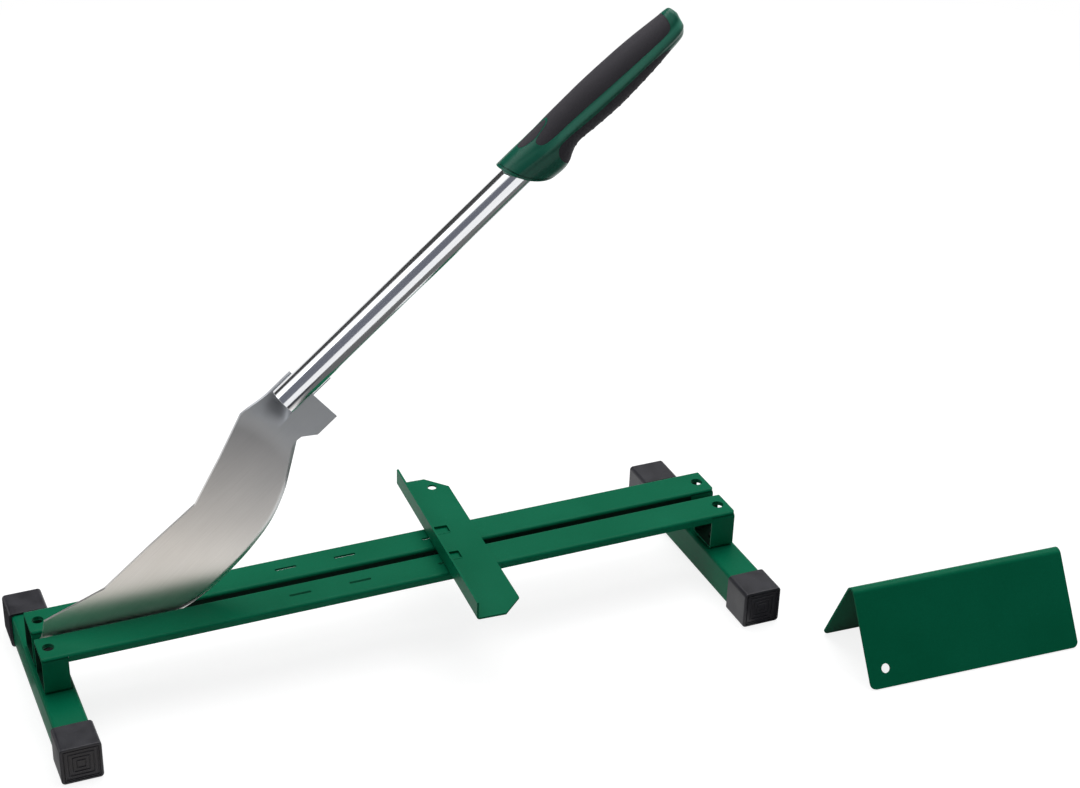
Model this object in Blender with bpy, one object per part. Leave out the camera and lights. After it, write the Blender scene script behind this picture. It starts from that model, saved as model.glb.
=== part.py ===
"""Hand lever cutter for laminate floor boards, with its loose board rest.

Metres. +X runs along the rails from the pivot to the far end, +Y from the front to
the back, +Z up. Each piece is laid out from the middle of the stand, on the floor, and
at the end the whole set moves so that the origin is the middle of its own floor area.
The blade is raised, as it stands between two cuts.
"""

from math import atan2, cos, pi, radians, sin, sqrt, tan

import bmesh
import bpy
from mathutils import Vector

# General
FIT_GAP = 0.0003          # clearance between pieces that touch
OVERRUN = 0.002           # how far a cutting solid runs past the face it opens
ROUND_STEPS = 24          # sides of a turned piece
CORNER_STEPS = 3          # steps round a bent or rounded corner

# Stand: cross tubes, end caps, risers and rails
TUBE_SIDE = 0.025
TUBE_WALL = 0.0015
TUBE_CORNER = 0.0025
TUBE_INSET = 0.0095       # from the rails' end to the middle of a cross tube
STAND_DEPTH = 0.190       # front to back, over the end caps

CAP_WALL = 0.0017
CAP_END = 0.003           # thickness of a cap's closed end
CAP_LENGTH = 0.0262
CAP_CORNER = 0.0027
CAP_EDGE = 0.0012         # rounding round a cap's closed end
CAP_MOULD_COUNT = 4
CAP_MOULD_CORE = 0.00665  # side of the innermost square
CAP_MOULD_WIDTH = 0.0011
CAP_MOULD_DEPTH = 0.0007

RAIL_LENGTH = 0.525
RAIL_WIDTH = 0.027
RAIL_GAP = 0.007          # the slot that the blade closes into
RAIL_SHEET = 0.0015
RAIL_FLANGE = 0.0058      # height of a rail over its outer turned-down edge
RAIL_INNER_FLANGE = 0.0115  # and over the edge beside the blade
RAIL_BEND = 0.0024
RAIL_END_CORNER = 0.0025

RISER_LENGTH = 0.0185
RISER_HEIGHT = 0.0274
RISER_WALL = 0.0015
RISER_CORNER = 0.0025

ACCESS_HOLE = 0.0085      # diameter of the tool hole above each riser screw
ACCESS_INSET = 0.0075     # from a rail's end to the middle of its hole

SLOT_WIDTH = 0.0026
SLOT_LENGTH = 0.0165
STOP_SLOT_LENGTH = 0.026
NEAR_SLOT_START = -0.082
MIDDLE_SLOT_START = -0.037
STOP_SLOT_START = 0.031

# Riser screws and their nuts
SCREW_SHANK = 0.005
SCREW_HEAD = 0.008
SCREW_HEAD_HEIGHT = 0.003
SCREW_CLEARANCE = 0.0003
SCREW_NUT_FLATS = 0.008
SCREW_NUT_HEIGHT = 0.004
SCREW_RECESS = 0.003      # across the flats of the tool recess
SCREW_RECESS_DEPTH = 0.0016
SCREW_END = 0.001         # how far the shank stands out of its nut

# Pivot
PIVOT_INSET = 0.0105      # from the rails' end
PIVOT_DROP = 0.0095       # below the rails' top
PIVOT_SHANK = 0.006
PIVOT_CLEARANCE = 0.0003
PIVOT_HEAD_FLATS = 0.010
PIVOT_HEAD_HEIGHT = 0.004
PIVOT_NUT_HEIGHT = 0.0055
PIVOT_NUT_COLLAR = 0.0085
PIVOT_NUT_COLLAR_HEIGHT = 0.0015
PIVOT_END = 0.0012        # how far the bolt stands out of its nut
WASHER_DIAMETER = 0.011
WASHER_THICKNESS = 0.001
SPACER_DIAMETER = 0.012

# Lever and blade, measured from the pivot along the lever and square to it
LEVER_ANGLE = radians(39.8)
LEVER_OFFSET = 0.0079     # from the pivot up to the lever tube's axis
LEVER_TUBE_LENGTH = 0.3225
LEVER_TUBE_DIAMETER = 0.020
LEVER_TUBE_WALL = 0.0015

BLADE_THICKNESS = 0.002
BLADE_REACH = 0.2525      # from the pivot to the end of the hook
BLADE_BELLY = 0.0622      # below the pivot's line
BLADE_SHOULDER = 0.0272   # above the pivot's line
BLADE_LUG = 0.0075        # radius of the eye round the pivot
BLADE_GRIND = 0.003       # width of the ground edge
BLADE_STATIONS = 72       # cross-sections along the blade
BLADE_LEVELS = 5          # points up each side of a cross-section, below the socket

# The blade's outline, as shares of its reach and of its belly or shoulder
NOSE_SHARES = ((0.0103, 0.32), (0.046, 0.581))
BACK_SHARES = ((0.220, 0.022), (0.390, 0.0), (0.562, -0.059), (0.702, 0.430), (0.8305, 0.922),
               (0.871, 0.884), (0.903, 0.845), (0.93, 0.80))
EDGE_SHARES = (
    (0.030, 0.230), (0.104, 0.543), (0.191, 0.744), (0.287, 0.904), (0.394, 0.994),
    (0.500, 1.000), (0.591, 0.961), (0.669, 0.884), (0.748, 0.733), (0.811, 0.555),
    (0.880, 0.350),
)
NOTCH_SHARES = ((0.894, 0.360), (0.928, 0.490), (1.0, 0.490))
GRIND_RUN_SHARE = 0.02    # the ground edge fades in and out over this share of the reach

# The socket: the blade's own sheet, pressed back into a trough that holds the tube
HOOK_LAP = 0.0172         # how far the hook reaches past the tube's lower end
SOCKET_RUN = 0.020        # from the flat blade to the full trough
SOCKET_LENGTH = 0.0345    # of the full trough
SOCKET_BACK_LENGTH = 0.0175
SOCKET_BACK_HEIGHT = 0.0067
SOCKET_GAP = 0.0006       # from the start of the full trough to the tube's end
SOCKET_STEPS = 8

# Grip, measured along the lever tube and from the tube's axis
GRIP_HOLD = 0.1075        # length of the tube inside the grip
GRIP_LENGTH = 0.152
GRIP_RISE = 0.0155        # from the tube's axis to the grip's back
GRIP_BREADTH = 0.0145     # from the tube's axis to the grip's side
GRIP_SECTION_STEPS = 28
PAD_THICKNESS = 0.0015

# The grip's stations: place, top, bottom and side, as shares of length, rise and breadth
GRIP_STATION_SHARES = (
    (-0.02, 1.015, 1.04, 0.985), (0.089, 1.025, 1.18, 1.005), (0.148, 1.005, 1.285, 1.02),
    (0.194, 1.01, 1.32, 1.02), (0.234, 1.02, 1.235, 1.0), (0.266, 1.035, 1.045, 0.96),
    (0.299, 1.05, 0.895, 0.91), (0.339, 1.06, 0.85, 0.895), (0.405, 1.062, 0.915, 0.917),
    (0.484, 1.062, 0.97, 0.95), (0.563, 1.036, 0.997, 0.972), (0.641, 1.0, 0.97, 0.966),
    (0.72, 0.957, 0.93, 0.945), (0.80, 0.89, 0.87, 0.903), (0.865, 0.82, 0.80, 0.848),
    (0.918, 0.76, 0.752, 0.793), (0.951, 0.742, 0.708, 0.717), (0.97, 0.742, 0.595, 0.62),
    (0.986, 0.725, 0.36, 0.497), (0.994, 0.66, 0.08, 0.36), (1.0, 0.475, -0.22, 0.235),
)
# The collar's rim and the outlines of the soft panels, seen from the side
COLLAR_RIM_SHARES = ((-0.036, 1.5), (-0.009, 0.95), (0.015, 0.446), (0.041, -0.01), (0.071, -0.44),
                     (0.109, -0.90), (0.164, -1.5))
TOP_PAD_SHARES = (
    (0.188, 0.885), (0.177, 0.825), (0.178, 0.73), (0.19, 0.62), (0.222, 0.54), (0.30, 0.515),
    (0.53, 0.467), (0.788, 0.322), (0.891, 0.247), (0.927, 0.272), (0.95, 0.552), (0.96, 1.4),
    (0.30, 1.4), (0.295, 1.06), (0.284, 1.02), (0.26, 0.978), (0.22, 0.93),
)
LOW_PAD_SHARES = (
    (0.228, -1.9), (0.222, -1.05), (0.208, -0.62), (0.207, -0.30), (0.222, 0.0), (0.25, 0.118),
    (0.29, 0.085), (0.35, 0.0), (0.47, -0.065), (0.589, -0.07), (0.74, -0.095), (0.80, -0.15),
    (0.85, -0.27), (0.885, -0.50), (0.895, -1.9),
)
BACK_PAD_SHARES = (
    (0.098, 1.4), (0.10, 1.02), (0.12, 0.965), (0.15, 0.933), (0.185, 0.932), (0.215, 0.973),
    (0.255, 1.02), (0.278, 1.062), (0.286, 1.4),
)

# Stop, measured from the middle of its plate
STOP_WIDTH = 0.0367
STOP_LENGTH = 0.183
STOP_FLANGE = 0.0143
STOP_SHEET = 0.0015
STOP_BEND = 0.0025
STOP_CHAMFER = 0.0150
STOP_PLACE = 0.0534       # from the origin to the middle of the plate
STOP_TURN = radians(-3.0)
STOP_HOLE = 0.0068
STOP_HOLE_SIDE = 0.0057   # the hole's middle from the plate's middle, towards the far end
STOP_HOLE_INSET = 0.0127  # from the plate's back end
TAB_LENGTH = 0.012
TAB_DEPTH = 0.008
TAB_SIDES = (-0.0093, -0.0066)  # middle of the front and back tab from the plate's middle
TAB_OPENING = 0.0085

# Loose board rest, a sheet bent to a ridge
REST_PLACE = (0.288, -0.1508)
REST_TURN = radians(-2.4)
REST_LENGTH = 0.165
REST_HEIGHT = 0.0596
REST_FRONT_FOOT = 0.0392
REST_BACK_FOOT = 0.0278
REST_SHEET = 0.0015
REST_BEND = 0.0045         # to the middle of the sheet
REST_CORNER = 0.0045
REST_HOLE = 0.0068
REST_HOLE_ALONG = 0.0137  # from the left end
REST_HOLE_UP = 0.0115     # above the floor

# Sizes that follow from the ones above
CAP_SIDE = TUBE_SIDE + 2 * (FIT_GAP + CAP_WALL)
CAP_MOULD_PITCH = (CAP_SIDE / 2 - CAP_EDGE - CAP_MOULD_CORE / 2) / (CAP_MOULD_COUNT - 0.5)
TUBE_AXIS_Z = CAP_SIDE / 2
TUBE_TOP = TUBE_AXIS_Z + TUBE_SIDE / 2
RISER_BOTTOM = TUBE_TOP + FIT_GAP
RISER_TOP = RISER_BOTTOM + RISER_HEIGHT
RAIL_TOP = RISER_TOP + FIT_GAP + RAIL_SHEET
RAIL_MIDDLE = (RAIL_GAP + RAIL_WIDTH) / 2
RAIL_END = RAIL_LENGTH / 2
TUBE_PLACE = RAIL_END - TUBE_INSET
ACCESS_PLACE = RAIL_END - ACCESS_INSET
PIVOT = Vector((-RAIL_END + PIVOT_INSET, 0, RAIL_TOP - PIVOT_DROP))
SPACER_THICKNESS = (RAIL_GAP - BLADE_THICKNESS) / 2 - 2 * FIT_GAP
LEVER_RADIUS = LEVER_TUBE_DIAMETER / 2
LEVER_TUBE_START = BLADE_REACH - HOOK_LAP
SOCKET_INSIDE = LEVER_RADIUS + FIT_GAP
SOCKET_MIDDLE = SOCKET_INSIDE + BLADE_THICKNESS / 2
SOCKET_START = LEVER_TUBE_START - SOCKET_GAP
GRIP_START = LEVER_TUBE_START + LEVER_TUBE_LENGTH - GRIP_HOLD
SIDES = (("front", -1), ("back", 1))
ENDS = (("left", -1), ("right", 1))


def clear_scene():
    for item in list(bpy.data.objects):
        bpy.data.objects.remove(item, do_unlink=True)


def material(name, colour, roughness, metallic=0.0):
    finish = bpy.data.materials.new(name)
    finish.use_nodes = True
    shader = finish.node_tree.nodes["Principled BSDF"]
    shader.inputs["Base Color"].default_value = (*colour, 1)
    shader.inputs["Roughness"].default_value = roughness
    shader.inputs["Metallic"].default_value = metallic
    return finish


def arc(centre, radius, start, end, steps):
    """Points on a circle from one angle to another, both ends counted."""
    angles = (start + (end - start) * step / steps for step in range(steps + 1))
    return [(centre[0] + radius * cos(angle), centre[1] + radius * sin(angle)) for angle in angles]


def circle(radius, steps=ROUND_STEPS, centre=(0, 0)):
    return arc(centre, radius, 0, 2 * pi, steps)[:-1]


def hexagon(flats, steps=ROUND_STEPS):
    """A hexagon with as many points as a circle, so that the two can be skinned together."""
    points = []
    for step in range(steps):
        angle = 2 * pi * step / steps
        from_flat = (angle + pi / 6) % (pi / 3) - pi / 6
        radius = flats / 2 / cos(from_flat)
        points.append((radius * cos(angle), radius * sin(angle)))
    return points


def rounded_box(width, height, radius, steps=CORNER_STEPS, centre=(0, 0)):
    """A rectangle with round corners, counterclockwise from its right side."""
    right, top = width / 2 - radius, height / 2 - radius
    corners = ((right, top, 0), (-right, top, pi / 2), (-right, -top, pi), (right, -top, 3 * pi / 2))
    points = []
    for x, y, angle in corners:
        points += arc((centre[0] + x, centre[1] + y), radius, angle, angle + pi / 2, steps)
    return points


def smooth(points, steps):
    """A smooth curve through the points, with a few steps between each two."""
    ends = (points[0], *points, points[-1])
    curve = []
    for before, start, end, after in zip(ends, ends[1:], ends[2:], ends[3:]):
        for step in range(steps):
            t = step / steps
            curve.append(tuple(
                ((2 * b) + (c - a) * t + (2 * a - 5 * b + 4 * c - d) * t * t
                 + (3 * b - a - 3 * c + d) * t * t * t) / 2
                for a, b, c, d in zip(before, start, end, after)))
    return curve + [tuple(points[-1])]


def height_at(line, place):
    """The height of a line of points at a place along it, with the points in order."""
    for start, end in zip(line, line[1:]):
        if place <= end[0]:
            share = max(place - start[0], 0) / (end[0] - start[0])
            return start[1] + (end[1] - start[1]) * share
    return line[-1][1]


def sides_of(midline, thickness):
    """The two faces of a bent sheet, each as far from its mid-line, with mitred bends."""
    half = thickness / 2
    runs = [(Vector(end) - Vector(start)).normalized() for start, end in zip(midline, midline[1:])]
    front, back = [], []
    for here, entering, leaving in zip(midline, (runs[0], *runs), (*runs, runs[-1])):
        bisector = Vector((-entering.y - leaving.y, entering.x + leaving.x)).normalized()
        reach = half / bisector.dot(Vector((-entering.y, entering.x)))
        front.append(tuple(Vector(here) + bisector * reach))
        back.append(tuple(Vector(here) - bisector * reach))
    return front, back


def grown(outline, distance):
    """A counterclockwise outline moved outwards by a distance, with mitred corners."""
    moved = []
    for before, here, after in zip((outline[-1], *outline), outline, (*outline[1:], outline[0])):
        entering = (Vector(here) - Vector(before)).normalized()
        leaving = (Vector(after) - Vector(here)).normalized()
        bisector = Vector((entering.y + leaving.y, -entering.x - leaving.x)).normalized()
        reach = distance / bisector.dot(Vector((entering.y, -entering.x)))
        moved.append(tuple(Vector(here) + bisector * reach))
    return moved


def counterclockwise(outline):
    twice_area = sum(a[0] * b[1] - b[0] * a[1] for a, b in zip(outline, (*outline[1:], outline[0])))
    return list(outline) if twice_area > 0 else list(reversed(outline))


def along(axis, outline, place):
    """Puts a flat outline across one of the axes, at a place on it."""
    if axis == "X":
        return [Vector((place, a, b)) for a, b in outline]
    if axis == "Y":
        return [Vector((a, place, b)) for a, b in outline]
    return [Vector((a, b, place)) for a, b in outline]


def frame(name, place, rotation=(0, 0, 0)):
    """An empty that carries the pieces laid out from it."""
    empty = bpy.data.objects.new(name, None)
    bpy.context.scene.collection.objects.link(empty)
    empty.location = place
    empty.rotation_euler = rotation
    return empty


def skin(name, rings, finish, closed=False, parent=None, place=(0, 0, 0)):
    """One closed solid through a row of rings with as many points each.

    Its ends are capped, or with closed the last ring joins on to the first, as on a tube.
    """
    mesh = bmesh.new()
    rows = [[mesh.verts.new(point) for point in ring] for ring in rings]
    pairs = list(zip(rows, rows[1:]))
    if closed:
        pairs.append((rows[-1], rows[0]))
    else:
        mesh.faces.new(list(reversed(rows[0])))
        mesh.faces.new(rows[-1])
    for low, high in pairs:
        for here, there in zip(range(len(low)), (*range(1, len(low)), 0)):
            mesh.faces.new((low[here], low[there], high[there], high[here]))
    bmesh.ops.recalc_face_normals(mesh, faces=mesh.faces)
    data = bpy.data.meshes.new(name)
    mesh.to_mesh(data)
    mesh.free()
    data.materials.append(finish)
    data.shade_smooth()
    data.set_sharp_from_angle(angle=radians(35))
    piece = bpy.data.objects.new(name, data)
    bpy.context.scene.collection.objects.link(piece)
    piece.parent = parent
    piece.location = place
    return piece


def prism(name, axis, outline, low, high, finish, parent=None, place=(0, 0, 0)):
    rings = [along(axis, outline, low), along(axis, outline, high)]
    return skin(name, rings, finish, parent=parent, place=place)


def pipe(name, axis, outer, inner, low, high, finish, parent=None, place=(0, 0, 0)):
    """A hollow bar with open ends, between two outlines with as many points."""
    rings = [along(axis, outline, end) for outline, end in
             ((outer, low), (outer, high), (inner, high), (inner, low))]
    return skin(name, rings, finish, closed=True, parent=parent, place=place)


def combine(piece, tool, operation):
    """Cuts, joins or trims a piece with a tool, which itself stays out of the model."""
    tool.hide_render = True
    tool.display_type = "WIRE"
    step = piece.modifiers.new(tool.name, "BOOLEAN")
    step.operation = operation
    step.object = tool
    return piece


def cut_hole(piece, name, axis, diameter, low, high, centre, finish, parent=None):
    tool = prism(name, axis, circle(diameter / 2, centre=centre), low, high, finish, parent=parent)
    return combine(piece, tool, "DIFFERENCE")


def cross_tube(end, side, finish):
    """A square tube from front to back, with a hole in its top for each riser's screw."""
    centre = (side * TUBE_PLACE, TUBE_AXIS_Z)
    outer = rounded_box(TUBE_SIDE, TUBE_SIDE, TUBE_CORNER, centre=centre)
    hollow = TUBE_SIDE - 2 * TUBE_WALL
    inner = rounded_box(hollow, hollow, TUBE_CORNER - TUBE_WALL, centre=centre)
    reach = STAND_DEPTH / 2 - CAP_END - FIT_GAP
    name = f"cross_tube_{end}"
    tube = pipe(name, "Y", outer, inner, -reach, reach, finish)
    for row, across in SIDES:
        cut_hole(tube, f"{name}_{row}_hole", "Z", SCREW_SHANK + 2 * SCREW_CLEARANCE,
                 TUBE_TOP - TUBE_WALL - OVERRUN, TUBE_TOP + OVERRUN,
                 (side * ACCESS_PLACE, across * RAIL_MIDDLE), finish)


def cap_ring(grow, place, centre):
    radius = max(CAP_CORNER + grow, FIT_GAP)
    side = CAP_SIDE + 2 * grow
    return along("Y", rounded_box(side, side, radius, centre=centre), place)


def end_cap(end, side, row, across, finish):
    """A rubber cap pushed over a cross tube's end, with square mouldings on its face."""
    centre = (side * TUBE_PLACE, TUBE_AXIS_Z)
    mouth = across * (STAND_DEPTH / 2 - CAP_LENGTH)
    face = across * STAND_DEPTH / 2
    floor = across * (STAND_DEPTH / 2 - CAP_END)
    sleeve = TUBE_SIDE + 2 * FIT_GAP
    inner = rounded_box(sleeve, sleeve, TUBE_CORNER + FIT_GAP, centre=centre)
    rings = [along("Y", inner, floor), along("Y", inner, mouth), cap_ring(0, mouth, centre)]
    for step in range(CORNER_STEPS + 1):
        angle = pi / 2 * step / CORNER_STEPS
        rings.append(cap_ring(CAP_EDGE * (cos(angle) - 1),
                              face - across * CAP_EDGE * (1 - sin(angle)), centre))
    name = f"end_cap_{end}_{row}"
    cap = skin(name, rings, finish)
    for ring in range(CAP_MOULD_COUNT):
        outside = CAP_SIDE - 2 * CAP_EDGE - 2 * CAP_MOULD_PITCH * (ring + 0.5)
        inside = outside - 2 * CAP_MOULD_WIDTH
        tool = pipe(f"{name}_moulding_{ring}", "Y",
                    rounded_box(outside, outside, CAP_MOULD_WIDTH, centre=centre),
                    rounded_box(inside, inside, CAP_MOULD_WIDTH / 2, centre=centre),
                    face - across * CAP_MOULD_DEPTH, face + across * OVERRUN, finish)
        combine(cap, tool, "DIFFERENCE")


def rail_section(across):
    """A rail's inverted U, round the middle of its own width."""
    half = RAIL_WIDTH / 2
    front_low, back_low = RAIL_TOP - RAIL_FLANGE, RAIL_TOP - RAIL_INNER_FLANGE
    if across > 0:
        front_low, back_low = back_low, front_low
    outside = [(half, back_low)]
    outside += arc((half - RAIL_BEND, RAIL_TOP - RAIL_BEND), RAIL_BEND, 0, pi / 2, CORNER_STEPS)
    outside += arc((RAIL_BEND - half, RAIL_TOP - RAIL_BEND), RAIL_BEND, pi / 2, pi, CORNER_STEPS)
    outside.append((-half, front_low))
    inner = half - RAIL_SHEET
    bend = RAIL_BEND - RAIL_SHEET
    ceiling = RAIL_TOP - RAIL_SHEET
    inside = [(-inner, front_low)]
    inside += arc((bend - inner, ceiling - bend), bend, pi, pi / 2, CORNER_STEPS)
    inside += arc((inner - bend, ceiling - bend), bend, pi / 2, 0, CORNER_STEPS)
    inside.append((inner, back_low))
    return [(a + across * RAIL_MIDDLE, b) for a, b in outside + inside]


def rail(row, across, finish):
    """One of the two rails that the board lies on, with its holes and slots."""
    name = f"rail_{row}"
    piece = prism(name, "X", rail_section(across), -RAIL_END, RAIL_END, finish)
    plan = rounded_box(RAIL_LENGTH, RAIL_WIDTH, RAIL_END_CORNER, centre=(0, across * RAIL_MIDDLE))
    tool = prism(f"{name}_plan", "Z", plan, RAIL_TOP - RAIL_INNER_FLANGE - OVERRUN, RAIL_TOP + OVERRUN,
                 finish)
    combine(piece, tool, "INTERSECT")
    for end, side in ENDS:
        # Over a riser the turned-down edges are cut away
        reach = RISER_LENGTH + FIT_GAP + OVERRUN
        middle = (side * (RAIL_END - RISER_LENGTH - FIT_GAP + reach / 2), across * RAIL_MIDDLE)
        notch = rounded_box(reach, RAIL_WIDTH + 2 * OVERRUN, RAIL_END_CORNER / 4, centre=middle)
        tool = prism(f"{name}_{end}_notch", "Z", notch, RAIL_TOP - RAIL_INNER_FLANGE - OVERRUN,
                     RISER_TOP + FIT_GAP, finish)
        combine(piece, tool, "DIFFERENCE")
        cut_hole(piece, f"{name}_{end}_hole", "Z", ACCESS_HOLE, RAIL_TOP - RAIL_SHEET - OVERRUN,
                 RAIL_TOP + OVERRUN, (side * ACCESS_PLACE, across * RAIL_MIDDLE), finish)
    slots = ((NEAR_SLOT_START, SLOT_LENGTH), (MIDDLE_SLOT_START, SLOT_LENGTH),
             (STOP_SLOT_START, STOP_SLOT_LENGTH))
    for number, (start, length) in enumerate(slots):
        slot = rounded_box(length, SLOT_WIDTH, SLOT_WIDTH / 4,
                           centre=(start + length / 2, across * RAIL_MIDDLE))
        tool = prism(f"{name}_slot_{number}", "Z", slot, RAIL_TOP - RAIL_SHEET - OVERRUN,
                     RAIL_TOP + OVERRUN, finish)
        combine(piece, tool, "DIFFERENCE")


def riser(end, side, row, across, finish):
    """A short length of square tube between a cross tube and a rail."""
    centre = (across * RAIL_MIDDLE, (RISER_BOTTOM + RISER_TOP) / 2)
    outer = rounded_box(RAIL_WIDTH, RISER_HEIGHT, RISER_CORNER, centre=centre)
    inner = rounded_box(RAIL_WIDTH - 2 * RISER_WALL, RISER_HEIGHT - 2 * RISER_WALL,
                        RISER_CORNER - RISER_WALL, centre=centre)
    name = f"riser_{end}_{row}"
    low, high = sorted((side * (RAIL_END - RISER_LENGTH), side * RAIL_END))
    piece = pipe(name, "X", outer, inner, low, high, finish)
    spot = (side * ACCESS_PLACE, across * RAIL_MIDDLE)
    cut_hole(piece, f"{name}_tool_hole", "Z", ACCESS_HOLE, RISER_TOP - RISER_WALL - OVERRUN,
             RISER_TOP + OVERRUN, spot, finish)
    cut_hole(piece, f"{name}_screw_hole", "Z", SCREW_SHANK + 2 * SCREW_CLEARANCE,
             RISER_BOTTOM - OVERRUN, RISER_BOTTOM + RISER_WALL + OVERRUN, spot, finish)
    if side < 0:
        inner_face = across * RAIL_GAP / 2
        near, far = inner_face - across * OVERRUN, inner_face + across * (RISER_WALL + OVERRUN)
        cut_hole(piece, f"{name}_pivot_hole", "Y", PIVOT_SHANK + 2 * PIVOT_CLEARANCE,
                 near, far, (PIVOT.x, PIVOT.z), finish)


def riser_fixing(end, side, row, across, finish):
    """The screw that holds a riser down and its nut inside the cross tube."""
    place = (side * ACCESS_PLACE, across * RAIL_MIDDLE, 0)
    seat = RISER_BOTTOM + RISER_WALL + FIT_GAP
    nut_top = TUBE_TOP - TUBE_WALL - FIT_GAP
    foot = nut_top - SCREW_NUT_HEIGHT - SCREW_END
    top = seat + SCREW_HEAD_HEIGHT
    profile = (
        (circle(SCREW_SHANK / 2), foot), (circle(SCREW_SHANK / 2), seat),
        (circle(SCREW_HEAD / 2), seat), (circle(SCREW_HEAD / 2), top - SCREW_HEAD_HEIGHT / 4),
        (circle(SCREW_HEAD / 2 - SCREW_HEAD_HEIGHT / 4), top),
        (hexagon(SCREW_RECESS), top), (hexagon(SCREW_RECESS), top - SCREW_RECESS_DEPTH),
    )
    skin(f"riser_screw_{end}_{row}", [along("Z", ring, height) for ring, height in profile],
         finish, place=place)
    pipe(f"riser_nut_{end}_{row}", "Z", hexagon(SCREW_NUT_FLATS),
         circle(SCREW_SHANK / 2 + SCREW_CLEARANCE), nut_top - SCREW_NUT_HEIGHT, nut_top, finish,
         place=place)


def pivot(finish, spacer_finish):
    """The bolt that the blade turns on, with its washers, lock nut and spacers."""
    wall = RAIL_GAP / 2 + RISER_WALL
    washer_in = wall + FIT_GAP
    seat = washer_in + WASHER_THICKNESS + FIT_GAP
    collar = seat + PIVOT_NUT_HEIGHT
    nut_end = collar + PIVOT_NUT_COLLAR_HEIGHT
    shank, head = circle(PIVOT_SHANK / 2), hexagon(PIVOT_HEAD_FLATS)
    profile = ((head, -seat - PIVOT_HEAD_HEIGHT), (head, -seat), (shank, -seat),
               (shank, nut_end + PIVOT_END))
    skin("pivot_bolt", [along("Y", ring, place) for ring, place in profile], finish, place=PIVOT)
    bore = circle(PIVOT_SHANK / 2 + PIVOT_CLEARANCE)
    neck = circle(PIVOT_NUT_COLLAR / 2)
    profile = ((head, seat), (head, collar), (neck, collar), (neck, nut_end), (bore, nut_end), (bore, seat))
    skin("pivot_lock_nut", [along("Y", ring, place) for ring, place in profile], finish,
         closed=True, place=PIVOT)
    spacer_in = BLADE_THICKNESS / 2 + FIT_GAP
    for row, across in SIDES:
        low, high = sorted((across * washer_in, across * (washer_in + WASHER_THICKNESS)))
        pipe(f"pivot_washer_{row}", "Y", circle(WASHER_DIAMETER / 2), bore, low, high, finish, place=PIVOT)
        low, high = sorted((across * spacer_in, across * (spacer_in + SPACER_THICKNESS)))
        pipe(f"pivot_spacer_{row}", "Y", circle(SPACER_DIAMETER / 2), bore, low, high,
             spacer_finish, place=PIVOT)


def blade_lines():
    """The blade's lower and upper outline, both from its nose to the end of its hook."""
    lug = arc((0, 0), BLADE_LUG, radians(160), radians(95), CORNER_STEPS)
    under = [(place, -height) for place, height in
             arc((0, 0), BLADE_LUG, radians(160), radians(70), 2 * CORNER_STEPS)]
    edge = smooth([(along_share * BLADE_REACH, -down_share * BLADE_BELLY)
                   for along_share, down_share in EDGE_SHARES], CORNER_STEPS)
    hook = [(along_share * BLADE_REACH, -down_share * BLADE_BELLY)
            for along_share, down_share in NOTCH_SHARES]
    back = [(along_share * BLADE_REACH, up_share * BLADE_SHOULDER)
            for along_share, up_share in NOSE_SHARES + BACK_SHARES]
    return under + edge + hook, lug + back


def blade_section(place, lower, upper):
    """The blade's cross-section: flat over most of its length, a trough under the tube.

    Between the two, the flat section and the trough are blended point by point.
    """
    low, high = height_at(lower, place), height_at(upper, place)
    first, last = EDGE_SHARES[0][0] * BLADE_REACH, EDGE_SHARES[-1][0] * BLADE_REACH
    run = GRIND_RUN_SHARE * BLADE_REACH
    ground = BLADE_GRIND * min(max(min(place - first, last - place) / run, 0), 1)
    foot = low + ground
    floor = LEVER_OFFSET - SOCKET_MIDDLE
    count = BLADE_LEVELS + SOCKET_STEPS + 1
    flat = [(0, foot + (high - foot) * step / count) for step in range(count + 1)]
    trough = [(0, foot + (floor - foot) * step / BLADE_LEVELS) for step in range(BLADE_LEVELS)]
    trough += arc((0, LEVER_OFFSET), SOCKET_MIDDLE, -pi / 2, 0, SOCKET_STEPS)
    trough.append((SOCKET_MIDDLE, LEVER_OFFSET + SOCKET_BACK_HEIGHT))
    share = min(max((place - SOCKET_START) / SOCKET_RUN + 1, 0), 1)
    ease = share * share * (3 - 2 * share)
    midline = [(a[0] * (1 - ease) + b[0] * ease, a[1] * (1 - ease) + b[1] * ease)
               for a, b in zip(flat, trough)]
    front, back = sides_of(midline, BLADE_THICKNESS)
    return along("X", [(0, low), *back, *reversed(front)], place)


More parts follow.
